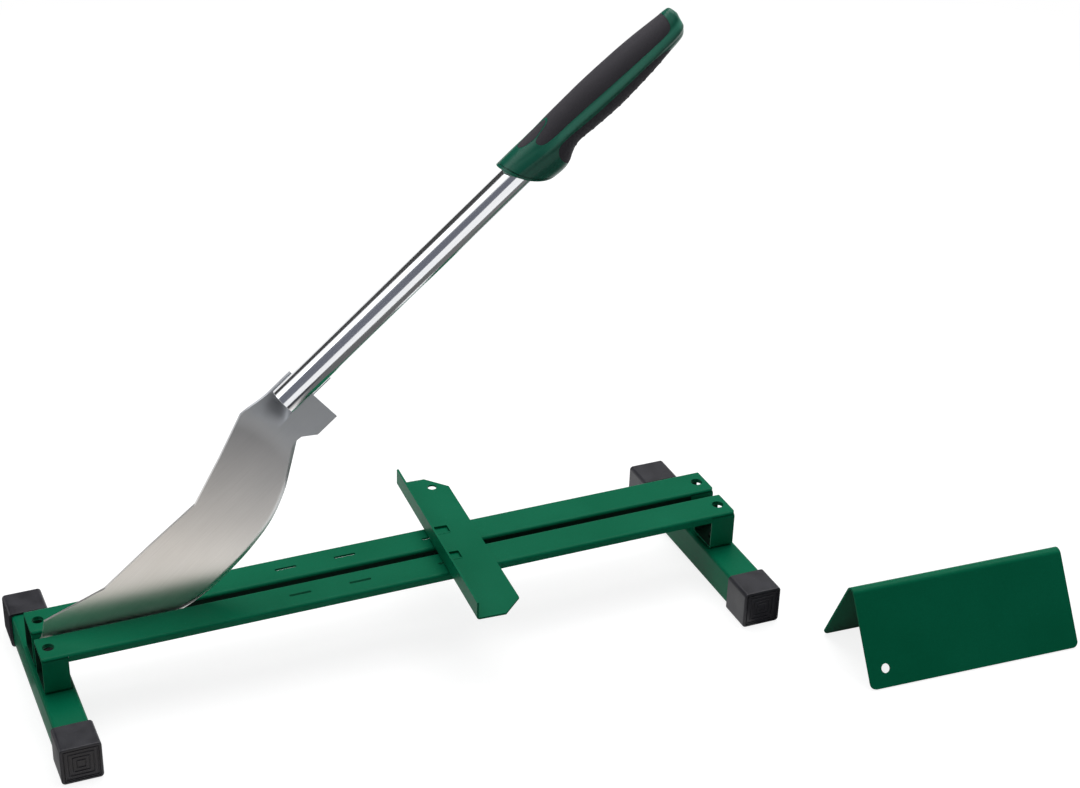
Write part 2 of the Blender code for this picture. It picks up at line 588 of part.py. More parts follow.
def blade(finish, lever):
    """One sheet from the pivot's eye to the socket that holds the lever tube."""
    lower, upper = blade_lines()
    end = SOCKET_START + SOCKET_LENGTH
    start = lower[0][0]
    spots = {start + (end - start) * step / BLADE_STATIONS for step in range(BLADE_STATIONS + 1)}
    corners = {place for place, height in (*lower, *upper) if place < end}
    corners.add(SOCKET_START)
    least = (end - start) / BLADE_STATIONS / 2
    spots = sorted(corners | {spot for spot in spots
                              if min(abs(spot - corner) for corner in corners) > least})
    rings = [blade_section(spot, lower, upper) for spot in spots]
    piece = skin("blade", rings, finish, parent=lever)
    half = BLADE_THICKNESS / 2
    # The flat sheet ends with the hook, and the trough's back wall before its floor
    floor = LEVER_OFFSET - SOCKET_INSIDE - BLADE_THICKNESS
    deep = -BLADE_BELLY
    reach = end + OVERRUN
    box = [(BLADE_REACH, deep), (reach, deep), (reach, floor), (BLADE_REACH, floor)]
    tool = prism("blade_hook_trim", "Y", box, -half - OVERRUN, half + OVERRUN, finish, parent=lever)
    combine(piece, tool, "DIFFERENCE")
    inset = SOCKET_START + SOCKET_BACK_LENGTH
    waist = LEVER_OFFSET - SOCKET_INSIDE / 2
    top = LEVER_OFFSET + SOCKET_BACK_HEIGHT + OVERRUN
    box = [(inset, waist), (reach, waist), (reach, top), (inset, top)]
    tool = prism("blade_socket_trim", "Y", box, 0, SOCKET_MIDDLE + half + OVERRUN, finish, parent=lever)
    combine(piece, tool, "DIFFERENCE")
    cut_hole(piece, "blade_pivot_hole", "Y", PIVOT_SHANK + 2 * PIVOT_CLEARANCE,
             -half - OVERRUN, half + OVERRUN, (0, 0), finish, parent=lever)


def lever_tube(finish, lever):
    outer = circle(LEVER_RADIUS, centre=(0, LEVER_OFFSET))
    inner = circle(LEVER_RADIUS - LEVER_TUBE_WALL, centre=(0, LEVER_OFFSET))
    pipe("lever_tube", "X", outer, inner, LEVER_TUBE_START, LEVER_TUBE_START + LEVER_TUBE_LENGTH,
         finish, parent=lever)


def grip_form(name, inset, finish, lever):
    """The grip's rounded form along the lever, drawn in by an inset."""
    rings = []
    for place, top, bottom, breadth in GRIP_STATION_SHARES:
        high = top * GRIP_RISE - inset
        low = -bottom * GRIP_RISE + inset
        wide = breadth * GRIP_BREADTH - inset
        middle, tall = LEVER_OFFSET + (high + low) / 2, (high - low) / 2
        rings.append([Vector((GRIP_START + place * GRIP_LENGTH, wide * a, middle + tall * b))
                      for a, b in circle(1, GRIP_SECTION_STEPS)])
    return skin(name, rings, finish, parent=lever)


def side_prism(name, shares, growth, finish, lever):
    """A solid right through the grip, with an outline given from the side."""
    outline = counterclockwise([(GRIP_START + place * GRIP_LENGTH, LEVER_OFFSET + height * GRIP_RISE)
                                for place, height in shares])
    reach = GRIP_BREADTH + 2 * OVERRUN
    return prism(name, "Y", grown(outline, growth), -reach, reach, finish, parent=lever)


def grip(shell_finish, pad_finish, lever):
    """A hard grip with a slanted collar and three soft panels let into it."""
    core = grip_form("grip_core", 0, shell_finish, lever)
    before = GRIP_START - 2 * GRIP_RISE
    rim = [(GRIP_START + place * GRIP_LENGTH, LEVER_OFFSET + height * GRIP_RISE)
           for place, height in COLLAR_RIM_SHARES]
    outline = [(before, rim[0][1]), *rim, (before, rim[-1][1])]
    reach = GRIP_BREADTH + 2 * OVERRUN
    tool = prism("grip_collar_cut", "Y", outline, -reach, reach, shell_finish, parent=lever)
    combine(core, tool, "DIFFERENCE")
    bore_end = LEVER_TUBE_START + LEVER_TUBE_LENGTH + FIT_GAP
    bore = prism("grip_bore", "X", circle(SOCKET_INSIDE, centre=(0, LEVER_OFFSET)),
                 before, bore_end, shell_finish, parent=lever)
    combine(core, bore, "DIFFERENCE")
    panels = (("top", TOP_PAD_SHARES), ("ribbed", LOW_PAD_SHARES), ("back", BACK_PAD_SHARES))
    for panel, shares in panels:
        name = f"grip_pad_{panel}"
        pad = grip_form(name, 0, pad_finish, lever)
        window = side_prism(f"{name}_outline", shares, -FIT_GAP / 2, pad_finish, lever)
        combine(pad, window, "INTERSECT")
        inside = grip_form(f"{name}_inside", PAD_THICKNESS, pad_finish, lever)
        combine(pad, inside, "DIFFERENCE")
        recess = side_prism(f"{name}_recess", shares, FIT_GAP / 2, shell_finish, lever)
        floor = grip_form(f"{name}_floor", PAD_THICKNESS + FIT_GAP, shell_finish, lever)
        combine(recess, floor, "DIFFERENCE")
        combine(core, recess, "DIFFERENCE")


def stop_section(width):
    """The stop's L: a plate and the edge that is turned up on its blade side."""
    left = -STOP_WIDTH / 2
    inner = STOP_BEND - STOP_SHEET
    outside = [(left + width, 0)]
    outside += arc((left + STOP_BEND, STOP_BEND), STOP_BEND, 3 * pi / 2, pi, CORNER_STEPS)
    outside += [(left, STOP_FLANGE), (left + STOP_SHEET, STOP_FLANGE)]
    outside += arc((left + STOP_BEND, STOP_BEND), inner, pi, 3 * pi / 2, CORNER_STEPS)
    return outside + [(left + width, STOP_SHEET)]


def stop(finish):
    """The bent sheet that the board's edge rests against, hooked into the rails' slots."""
    place = frame("stop_frame", (STOP_PLACE, 0, RAIL_TOP + FIT_GAP), (0, 0, STOP_TURN))
    half = STOP_LENGTH / 2
    narrow = STOP_WIDTH - STOP_CHAMFER
    rings = [along("Y", stop_section(width), depth) for width, depth in
             ((narrow, -half), (STOP_WIDTH, STOP_CHAMFER - half),
              (STOP_WIDTH, half - STOP_CHAMFER), (narrow, half))]
    piece = skin("stop", rings, finish, parent=place)
    cut_hole(piece, "stop_hole", "Z", STOP_HOLE, -OVERRUN, STOP_SHEET + OVERRUN,
             (STOP_HOLE_SIDE, half - STOP_HOLE_INSET), finish, parent=place)
    for (row, across), side in zip(SIDES, TAB_SIDES):
        # The tab stands in the rail's slot, which runs along the middle of the rail
        depth = (across * RAIL_MIDDLE - side * sin(STOP_TURN)) / cos(STOP_TURN)
        low, high = depth - STOP_SHEET / 2, depth + STOP_SHEET / 2
        left, right = side - TAB_LENGTH / 2, side + TAB_LENGTH / 2
        opening = [(left, high), (right, high), (right, high + TAB_OPENING), (left, high + TAB_OPENING)]
        tool = prism(f"stop_{row}_opening", "Z", opening, -OVERRUN, STOP_SHEET + OVERRUN, finish,
                     parent=place)
        combine(piece, tool, "DIFFERENCE")
        inset = STOP_SHEET
        tab = [(left, STOP_SHEET / 2), (left, inset - TAB_DEPTH), (left + inset, -TAB_DEPTH),
               (right - inset, -TAB_DEPTH), (right, inset - TAB_DEPTH), (right, STOP_SHEET / 2)]
        tool = prism(f"stop_{row}_tab", "Y", tab, low, high, finish, parent=place)
        combine(piece, tool, "UNION")


def board_rest(finish):
    """A ridge of bent sheet that stands on the floor beside the stand."""
    place = frame("board_rest_frame", (*REST_PLACE, 0), (0, 0, REST_TURN))
    front_slope = atan2(REST_HEIGHT, REST_FRONT_FOOT)
    back_slope = atan2(REST_HEIGHT, REST_BACK_FOOT)
    # The two legs' mid-lines would meet above the bend
    spread = (pi - front_slope - back_slope) / 2
    apex = REST_HEIGHT - REST_SHEET / 2 + REST_BEND * (1 / sin(spread) - 1)
    tilt = (front_slope - back_slope) / 2
    centre = (REST_BEND / sin(spread) * sin(tilt), apex - REST_BEND / sin(spread) * cos(tilt))
    bend = arc(centre, REST_BEND, pi / 2 + front_slope, pi / 2 - back_slope, 2 * CORNER_STEPS)
    steps = [1 - cos(pi / 2 * step / CORNER_STEPS) for step in range(CORNER_STEPS + 1)]
    rounding = [(REST_CORNER * step, REST_CORNER * (1 - sqrt(1 - (1 - step) ** 2))) for step in steps]
    mirrored = [(REST_LENGTH - along_ridge, cut) for along_ridge, cut in reversed(rounding)]
    rings = []
    for along_ridge, cut in rounding + mirrored:
        feet = []
        for side, slope in ((-1, front_slope), (1, back_slope)):
            up = REST_SHEET / 2 * cos(slope) + cut * sin(slope)
            feet.append((side * (apex - up) / tan(slope), up))
        front, back = sides_of([feet[0], *bend, feet[1]], REST_SHEET)
        rings.append(along("X", [*front, *reversed(back)], along_ridge))
    piece = skin("board_rest", rings, finish, parent=place)
    hole_depth = (REST_HOLE_UP - apex) / tan(front_slope)
    tool = prism("board_rest_hole", "Z", circle(REST_HOLE / 2), -REST_SHEET * 2 - OVERRUN,
                 REST_SHEET + OVERRUN, finish, parent=place,
                 place=(REST_HOLE_ALONG, hole_depth, REST_HOLE_UP))
    tool.rotation_euler = (front_slope, 0, 0)
    combine(piece, tool, "DIFFERENCE")


def centre_origin():
    """Puts the origin under the middle of the whole set's box, on the floor."""
    pieces = [item for item in bpy.data.objects if item.type == "MESH" and not item.hide_render]
    corners = []
    for piece in pieces:
        place = piece.matrix_basis
        if piece.parent:
            place = piece.parent.matrix_basis @ place
        corners += [place @ vertex.co for vertex in piece.data.vertices]
    middle = [(min(point[axis] for point in corners) + max(point[axis] for point in corners)) / 2
              for axis in (0, 1)]
    origin = frame("set_frame", (-middle[0], -middle[1], 0))
    for item in bpy.data.objects:
        if item.parent is None and item is not origin:
            item.parent = origin


def build():
    clear_scene()
    green = material("green_powder_coat", (0.012, 0.155, 0.075), 0.38)
    rubber = material("black_rubber", (0.045, 0.043, 0.050), 0.7)
    zinc = material("zinc_plated_steel", (0.62, 0.62, 0.60), 0.35, 1.0)
    nylon = material("spacer_nylon", (0.70, 0.70, 0.66), 0.5)
    sheet_steel = material("brushed_sheet_steel", (0.60, 0.58, 0.55), 0.35, 1.0)
    chrome = material("chromed_steel", (0.75, 0.77, 0.80), 0.12, 1.0)
    grip_green = material("grip_plastic", (0.008, 0.075, 0.038), 0.32)
    grip_black = material("grip_soft_panel", (0.045, 0.043, 0.048), 0.6)
    for end, side in ENDS:
        cross_tube(end, side, green)
        for row, across in SIDES:
            end_cap(end, side, row, across, rubber)
            riser(end, side, row, across, green)
            riser_fixing(end, side, row, across, zinc)
    for row, across in SIDES:
        rail(row, across, green)
    pivot(zinc, nylon)
    lever = frame("lever_frame", PIVOT, (0, -LEVER_ANGLE, 0))
    blade(sheet_steel, lever)
    lever_tube(chrome, lever)
    grip(grip_green, grip_black, lever)
    stop(green)
    board_rest(green)
    centre_origin()


build()
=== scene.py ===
"""Looks of the hand lever cutter for laminate boards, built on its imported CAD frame.

Metres, in the frame of the CAD. The stand's pieces are laid out from the middle of the
stand, the lever's from its pivot along the lever, and the stop and the board rest from
their own places, as in the part's source.
"""

from math import atan2, cos, pi, radians, sin, sqrt, tan

import bmesh
import bpy
from mathutils import Matrix, Vector


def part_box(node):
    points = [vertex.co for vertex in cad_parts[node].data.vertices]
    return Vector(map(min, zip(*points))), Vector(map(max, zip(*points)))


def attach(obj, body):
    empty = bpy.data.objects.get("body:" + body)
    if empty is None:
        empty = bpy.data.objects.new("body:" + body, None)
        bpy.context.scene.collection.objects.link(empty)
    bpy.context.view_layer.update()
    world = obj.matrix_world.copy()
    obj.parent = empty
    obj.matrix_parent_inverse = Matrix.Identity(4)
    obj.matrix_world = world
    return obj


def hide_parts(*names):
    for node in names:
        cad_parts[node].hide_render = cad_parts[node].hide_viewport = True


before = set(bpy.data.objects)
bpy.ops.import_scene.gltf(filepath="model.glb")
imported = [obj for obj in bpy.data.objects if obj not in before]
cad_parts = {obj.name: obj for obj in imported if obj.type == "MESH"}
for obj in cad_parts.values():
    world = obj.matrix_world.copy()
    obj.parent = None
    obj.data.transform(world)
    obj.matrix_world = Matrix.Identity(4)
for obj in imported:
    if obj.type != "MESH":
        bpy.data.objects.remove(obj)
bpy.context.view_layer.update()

# Where things are
FRONT_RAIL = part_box("rail_front")
BACK_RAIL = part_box("rail_back")
MIDDLE = Vector(((FRONT_RAIL[0][0] + FRONT_RAIL[1][0]) / 2,
                 (FRONT_RAIL[0][1] + BACK_RAIL[1][1]) / 2, 0))
STAND = Matrix.Translation(MIDDLE)

FIT_GAP = 0.0003
OVERRUN = 0.002
STEPS = 7  # steps round a bent or rounded corner
EDGE = 0.00025  # rounding of cut sheet edges
BLADE_EDGE = 0.0002
SOFT_EDGE = 0.0003  # rounding of the lever tube's ends and of the grip's parts
SHARP_ANGLE = radians(35)
BEVEL_ANGLE = radians(38)

# Stand
TUBE_SIDE = 0.025
TUBE_WALL = 0.0015
TUBE_CORNER = 0.0025
TUBE_PLACE = 0.253
STAND_DEPTH = 0.19
CAP_WALL = 0.0017
CAP_END = 0.003
CAP_LENGTH = 0.0262
CAP_CORNER = 0.0027
CAP_LEAST_CORNER = 0.0004
CAP_EDGE = 0.0011
CAP_MOUTH_EDGE = (0.0003, 0.0004)  # inwards, and along the tube
CAP_SINK = 0.0006  # depth of the sunk end
CAP_RIM = (0.01255, 0.01235)  # half the sunk end's side, at the face and at its floor
CAP_SQUARES = (0.0115, 0.0086, 0.0057, 0.0029)  # half the sides of the raised squares in it
CAP_SQUARE_STEPS = (0.0005, 0.0002, -0.0002, -0.0004)  # outer foot, top's edges, inner foot
RAIL_LENGTH = 0.525
RAIL_WIDTH = 0.027
RAIL_GAP = 0.007
RAIL_SHEET = 0.0015
RAIL_FLANGE = 0.0058
RAIL_INNER_FLANGE = 0.0115
RAIL_BEND = 0.0024
RAIL_END_CORNER = 0.0025
NOTCH_GAP = 0.0001
RISER_LENGTH = 0.0185
RISER_HEIGHT = 0.0274
RISER_WALL = 0.0015
RISER_CORNER = 0.0025
ACCESS_HOLE = 0.0085
ACCESS_PLACE = 0.255
SLOT_WIDTH = 0.0022
SLOT_CORNER = SLOT_WIDTH * 0.45
SLOTS = ((-0.082, 0.0165), (-0.037, 0.0165), (0.031, 0.026))  # start from the middle, and length
SCREW_SHANK = 0.0056

# Lever: the blade's outlines are in shares of its reach, and of its belly or its shoulder
LEVER_ANGLE = radians(39.8)
LEVER_OFFSET = 0.0079
LEVER_TUBE_START = 0.2353
LEVER_TUBE_LENGTH = 0.3225
LEVER_TUBE_END = LEVER_TUBE_START + LEVER_TUBE_LENGTH
LEVER_RADIUS = 0.01
LEVER_TUBE_WALL = 0.0015
BLADE_THICKNESS = 0.002
BLADE_REACH = 0.2525
BLADE_BELLY = 0.0622
BLADE_SHOULDER = 0.0272
BLADE_LUG = 0.0075
BLADE_GRIND = 0.003
BLADE_GRIND_RUN = 0.02  # the ground edge's run in and out, a share of the reach
BLADE_RINGS = 260
BLADE_LEVELS = 14  # steps up the sheet below the trough
BLADE_TURNS = 22  # steps round the trough
LUG_START = radians(160)
LUG_TOP_END = radians(95)
LUG_UNDER_END = radians(70)
PIVOT_HOLE = 0.0066
PIVOT_PLACE = -0.252
PIVOT_DROP = 0.0095  # below the rails' top
NOSE = ((0.0103, 0.32), (0.046, 0.581))
BACK = ((0.22, 0.022), (0.39, 0.0), (0.562, -0.059), (0.702, 0.43), (0.8305, 0.922), (0.871, 0.884),
        (0.903, 0.845), (0.93, 0.8))
EDGE_LINE = ((0.03, 0.23), (0.104, 0.543), (0.191, 0.744), (0.287, 0.904), (0.394, 0.994),
             (0.5, 1.0), (0.591, 0.961), (0.669, 0.884), (0.748, 0.733), (0.811, 0.555),
             (0.88, 0.35))
NOTCH = ((0.894, 0.36), (0.928, 0.49), (1.0, 0.49))
SOCKET_GAP = 0.0006  # from the start of the full trough to the tube's end
SOCKET_START = LEVER_TUBE_START - SOCKET_GAP
SOCKET_RUN = 0.02
SOCKET_LENGTH = 0.0345
SOCKET_BACK_LENGTH = 0.0175
SOCKET_BACK_HEIGHT = 0.0067
SOCKET_INSIDE = LEVER_RADIUS + FIT_GAP

# Grip: its form and outlines are in shares of its length, and of its rise or its breadth
GRIP_ON_TUBE = 0.1075
GRIP_START = LEVER_TUBE_END - GRIP_ON_TUBE
GRIP_LENGTH = 0.152
GRIP_RISE = 0.0155
GRIP_BREADTH = 0.0145
GRIP_REACH = GRIP_BREADTH + 2 * OVERRUN
GRIP_INSET = 0.0003
GRIP_ROOM = 0.03  # how far cuts reach out past the grip's lower end
PAD = 0.0015
PAD_INSET = 0.0004
PAD_GAP = 0.00005
RIB_HEIGHT = 0.0003
RIB_PITCH = 0.0077
RIB_LEAN = 0.55  # of a pitch, from the grip's middle to its under side
RIB_WIDTH = 0.34
RIB_ROUND = 0.8
RIB_RISE = 0.3  # the ribs fade in over this share of the way down
RIB_ENDS = ((0.25, 0.05), (0.87, -0.06))  # where the ribs begin and end, and over how much
RIDGE_HEIGHT = 0.0009
RIDGE_FALL = (0.33, 0.17)  # above its line and below it
PAINTED_HIGHLIGHT_RISE = (0.0074, 0.0014)  # of the painted highlight along the ridge's crest, at the grip's start and end
PAINTED_HIGHLIGHT_BREADTH = (0.0032, 0.001)
PAINTED_HIGHLIGHT_FADE = (0.022, 0.048)
COLLAR_GROOVE = (0.0019, 0.0027)  # from the rim to its two sides
GROOVE_DEPTH = 0.0009
GRIP_FORM = (
    (-0.02, 1.015, 1.04, 0.985), (0.089, 1.025, 1.18, 1.005), (0.148, 1.005, 1.285, 1.02),
    (0.194, 1.01, 1.32, 1.02), (0.234, 1.02, 1.235, 1.0), (0.266, 1.035, 1.045, 0.96),
    (0.299, 1.05, 0.895, 0.91), (0.339, 1.06, 0.85, 0.895), (0.405, 1.062, 0.915, 0.917),
    (0.484, 1.062, 0.97, 0.95), (0.563, 1.036, 0.997, 0.972), (0.641, 1.0, 0.97, 0.966),
    (0.72, 0.957, 0.93, 0.945), (0.8, 0.89, 0.87, 0.903), (0.865, 0.82, 0.8, 0.848),
    (0.918, 0.76, 0.752, 0.793), (0.951, 0.742, 0.708, 0.717), (0.97, 0.742, 0.595, 0.62),
    (0.986, 0.725, 0.36, 0.497), (0.994, 0.66, 0.08, 0.36), (1.0, 0.475, -0.22, 0.235),
)
COLLAR_RIM = ((-0.036, 1.5), (-0.009, 0.95), (0.015, 0.446), (0.041, -0.01), (0.071, -0.44),
              (0.109, -0.9), (0.164, -1.5))
TOP_PAD = ((0.187, 0.874), (0.177, 0.825), (0.178, 0.73), (0.19, 0.62), (0.222, 0.54), (0.3, 0.515),
           (0.53, 0.467), (0.788, 0.322), (0.891, 0.247), (0.927, 0.272), (0.95, 0.552), (0.96, 1.4),
           (0.299, 1.4), (0.298, 1.08), (0.294, 1.04), (0.286, 1.017), (0.274, 0.992), (0.261, 0.97),
           (0.245, 0.954), (0.224, 0.927), (0.202, 0.899))
LOW_PAD = ((0.228, -1.9), (0.222, -1.05), (0.208, -0.62), (0.207, -0.3), (0.222, 0.0), (0.25, 0.118),
           (0.29, 0.085), (0.35, 0.0), (0.47, -0.065), (0.589, -0.07), (0.74, -0.095), (0.8, -0.15),
           (0.85, -0.27), (0.885, -0.5), (0.895, -1.9))
BACK_PAD = ((0.098, 1.4), (0.1, 1.02), (0.12, 0.965), (0.143, 0.93), (0.165, 0.915), (0.182, 0.91),
            (0.2, 0.919), (0.222, 0.937), (0.243, 0.964), (0.259, 0.98), (0.272, 1.002), (0.284, 1.027),
            (0.292, 1.05), (0.296, 1.08), (0.297, 1.4))
RIDGE = ((0.0, 0.5), (0.22, 0.27), (0.35, 0.19), (0.53, 0.12), (0.75, 0.05), (0.9, -0.1), (1.0, -0.15))

# Stop
STOP_WIDTH = 0.0367
STOP_LENGTH = 0.183
STOP_FLANGE = 0.0143
STOP_SHEET = 0.0015
STOP_BEND = 0.0025
STOP_CHAMFER = 0.015
STOP_PLACE = 0.0534
STOP_TURN = radians(-3.0)
STOP_HOLE = 0.0068
STOP_HOLE_SIDE = 0.0057
STOP_HOLE_INSET = 0.0127
TAB_LENGTH = 0.012
TAB_DEPTH = 0.008
TAB_SIDES = (-0.0093, -0.0066)
TAB_ROOT = STOP_SHEET * 0.9
TAB_OPENING = 0.0085
TAB_OPENING_CORNER = 0.0008

# Board rest
REST_PLACE = (0.288, -0.1508)
REST_TURN = radians(-2.4)
REST_LENGTH = 0.165
REST_HEIGHT = 0.0596
REST_FRONT_FOOT = 0.0392
REST_BACK_FOOT = 0.0278
REST_SHEET = 0.0015
REST_BEND = 0.0045
REST_CORNER = 0.0045
REST_HOLE = 0.0068
REST_HOLE_ALONG = 0.0137
REST_HOLE_UP = 0.0115

# Studio
WHITE = (1, 1, 1)
WORLD_LIGHT = (0.17, 0.175, 0.18)
FLOOR_RADIUS = 9.0
FLOOR_DROP = 0.0002
FLOOR_TONE = (0.26, 0.26, 0.26)
FLOOR_GLOW = 0.85
FLOOR_FADE = (0.75, 1.5)  # where the floor starts to turn white, and is white
BOUNCE = (0.42, 0.95)  # its tone for scattered light, in front and behind
BOUNCE_FADE = (-0.2, -0.08)  # where that changes, from the stand's middle
CARD_LIFT = 0.0004
CARD_COOL = (0.97, 1.0, 1.15)
CARD_WARM = (1.02, 0.975, 0.93)
CARDS_ROUND = Vector((0.06, 0, 0.27))
LAMPS_ROUND = Vector((0.03, 0, 0.1))

# Sizes and places that follow
CAP_SIDE = TUBE_SIDE + 2 * (FIT_GAP + CAP_WALL)
TUBE_AXIS_Z = CAP_SIDE / 2
TUBE_TOP = TUBE_AXIS_Z + TUBE_SIDE / 2
RISER_BOTTOM = TUBE_TOP + FIT_GAP
RISER_TOP = RISER_BOTTOM + RISER_HEIGHT
RAIL_TOP = RISER_TOP + FIT_GAP + RAIL_SHEET
RAIL_MIDDLE = (RAIL_GAP + RAIL_WIDTH) / 2
RAIL_END = RAIL_LENGTH / 2
PIVOT = Vector((PIVOT_PLACE, 0, RAIL_TOP - PIVOT_DROP))
LEVER = Matrix.Translation(MIDDLE + PIVOT) @ Matrix.Rotation(-LEVER_ANGLE, 4, "Y")
STOP = (Matrix.Translation(MIDDLE + Vector((STOP_PLACE, 0, RAIL_TOP + FIT_GAP)))
        @ Matrix.Rotation(STOP_TURN, 4, "Z"))
REST = Matrix.Translation(MIDDLE + Vector((*REST_PLACE, 0))) @ Matrix.Rotation(REST_TURN, 4, "Z")
SIDES = (("front", -1), ("back", 1))
ENDS = (("left", -1), ("right", 1))
FIXINGS = ("riser_screw", "riser_nut", "pivot_bolt", "pivot_lock_nut", "pivot_washer")
made = []
tools = []


# Materials

class Nodes:
    """The shader nodes of a material or a world, added one after another."""

    def __init__(self, owner, empty=True):
        owner.use_nodes = True
        self.tree = owner.node_tree
        if empty:
            self.tree.nodes.clear()

    def add(self, kind, inputs=None, **settings):
        node = self.tree.nodes.new("ShaderNode" + kind)
        for key, value in settings.items():
            setattr(node, key, value)
        for socket, value in (inputs or {}).items():
            self.put(node.inputs[socket], value)
        return node

    def put(self, socket, value):
        if isinstance(value, bpy.types.NodeSocket):
            self.tree.links.new(value, socket)
        else:
            socket.default_value = (*value, 1.0) if socket.type == "RGBA" else value

    def remap(self, value, start, end, low=0.0, high=1.0):
        inputs = {"Value": value, "From Min": start, "From Max": end, "To Min": low, "To Max": high}
        return self.add("MapRange", inputs).outputs["Result"]

    def math(self, operation, first, second=0.0):
        return self.add("Math", {0: first, 1: second}, operation=operation).outputs[0]

    def blend(self, factor, first, second, mode="MIX"):
        return self.add("Mix", {0: factor, 6: first, 7: second}, data_type="RGBA",
                        blend_type=mode).outputs[2]

    def seen_directly(self):
        """1 for the camera, for reflections and through clear things, 0 for scattered light."""
        rays = self.add("LightPath").outputs
        seen = self.math("MAXIMUM", rays["Is Camera Ray"], rays["Is Glossy Ray"])
        return self.math("MAXIMUM", seen, rays["Is Transmission Ray"])


class Finish(Nodes):
    """A material for a piece. Sizes of features are in metres.

    With a place given, its patterns are laid out in that place's own directions.
    """

    def __init__(self, name, metallic=0.0, specular=0.5, where=None):
        self.material = bpy.data.materials.new(name)
        super().__init__(self.material, empty=False)
        self.shader = self.tree.nodes["Principled BSDF"]
        self.shader.inputs["Metallic"].default_value = metallic
        self.shader.inputs["Specular IOR Level"].default_value = specular
        self.place = self.add("TexCoord").outputs["Object"]
        if where:
            back = where.inverted()
            inputs = {"Vector": self.place, "Location": back.to_translation(), "Rotation": back.to_euler()}
            self.place = self.add("Mapping", inputs).outputs[0]

    def noise(self, feature, stretch=(1, 1, 1), detail=3.0, rough=0.5):
        scale = [part / feature for part in stretch]
        mapping = self.add("Mapping", {"Vector": self.place, "Scale": scale})
        inputs = {"Vector": mapping.outputs[0], "Scale": 1.0, "Detail": detail, "Roughness": rough}
        return self.add("TexNoise", inputs).outputs["Fac"]

    def cloud(self, *shape, low=0.3, high=0.7, **settings):
        """Noise with more contrast, from 0 to 1."""
        return self.remap(self.noise(*shape, **settings), low, high)

    def bump(self, height, distance, strength):
        inputs = {"Height": height, "Distance": distance, "Strength": strength}
        if self.shader.inputs["Normal"].links:
            inputs["Normal"] = self.shader.inputs["Normal"].links[0].from_socket
        self.put(self.shader.inputs["Normal"], self.add("Bump", inputs).outputs[0])

    def set(self, **values):
        for name, value in values.items():
            self.put(self.shader.inputs[name.replace("_", " ").title()], value)
        return self.material


def powder_coat():
    """Green powder coat: orange peel, a few specks, and a cloudy change of gloss."""
    f = Finish("powder_coat_green", specular=0.05)
    cloud = f.cloud(0.055, detail=2.0)
    grain = f.cloud(0.0011, detail=2.0)
    colour = f.blend(cloud, (0.0006, 0.122, 0.057), (0.0016, 0.138, 0.067))
    colour = f.blend(f.math("MULTIPLY", grain, 0.35), colour, (0.0004, 0.1, 0.045))
    speck = f.cloud(0.0024, detail=1.0, low=0.74, high=0.78)
    colour = f.blend(f.math("MULTIPLY", speck, 0.25), colour, (0.014, 0.18, 0.105))
    f.bump(f.noise(0.0009, detail=1.5), 0.00005, 0.5)
    f.bump(f.noise(0.012, detail=1.0), 0.00012, 0.35)
    return f.set(base_color=colour, roughness=f.remap(cloud, 0.0, 1.0, 0.34, 0.43))


def painted_shade_coat():
    """Painted shade: a dull, patchy, nearly black green put inside the tubes, under the rails and on the
    rails' faces beside the blade's gap.
    """
    f = Finish("painted_shade_inside", specular=0.1)
    patch = f.cloud(0.006, detail=4.0)
    f.bump(f.noise(0.0012, detail=2.0), 0.00005, 0.5)
    return f.set(base_color=f.blend(patch, (0.0006, 0.014, 0.007), (0.0012, 0.026, 0.013)),
                 roughness=f.remap(patch, 0.0, 1.0, 0.6, 0.8))


def rubber():
    """Moulded black rubber with a dusty bloom."""
    f = Finish("moulded_rubber", specular=0.32)
    bloom = f.cloud(0.014, detail=4.0, low=0.35)
    colour = f.blend(bloom, (0.012, 0.0117, 0.016), (0.019, 0.0186, 0.025))
    fleck = f.cloud(0.0009, detail=2.0, low=0.66, high=0.74)
    colour = f.blend(f.math("MULTIPLY", fleck, 0.35), colour, (0.075, 0.074, 0.083))
    f.bump(f.noise(0.00045, detail=2.0), 0.00005, 0.6)
    return f.set(base_color=colour, roughness=f.remap(bloom, 0.0, 1.0, 0.34, 0.46))


def zinc():
    """Dull, rough zinc plating with cloudy patches; its tone is made nearly black as painted shade for the
    screws seen down the access holes.
    """
    f = Finish("zinc_plating", metallic=1.0)
    patch = f.cloud(0.0022, detail=3.0)
    # Painted shade: a nearly black tone, so that the screws down the holes look shaded
    colour = f.blend(patch, (0.05, 0.05, 0.048), (0.1, 0.102, 0.1))
    f.bump(f.noise(0.0005, detail=2.0), 0.00002, 0.5)
    return f.set(base_color=colour, roughness=f.remap(patch, 0.0, 1.0, 0.42, 0.58))


def nylon():
    """Plain off-white nylon, a little mottled."""
    f = Finish("spacer_nylon", specular=0.45)
    patch = f.noise(0.003, detail=2.0)
    f.bump(f.noise(0.0006), 0.00003, 0.5)
    return f.set(base_color=f.blend(patch, (0.6, 0.6, 0.55), (0.72, 0.72, 0.68)),
                 roughness=f.remap(patch, 0.0, 1.0, 0.42, 0.58))


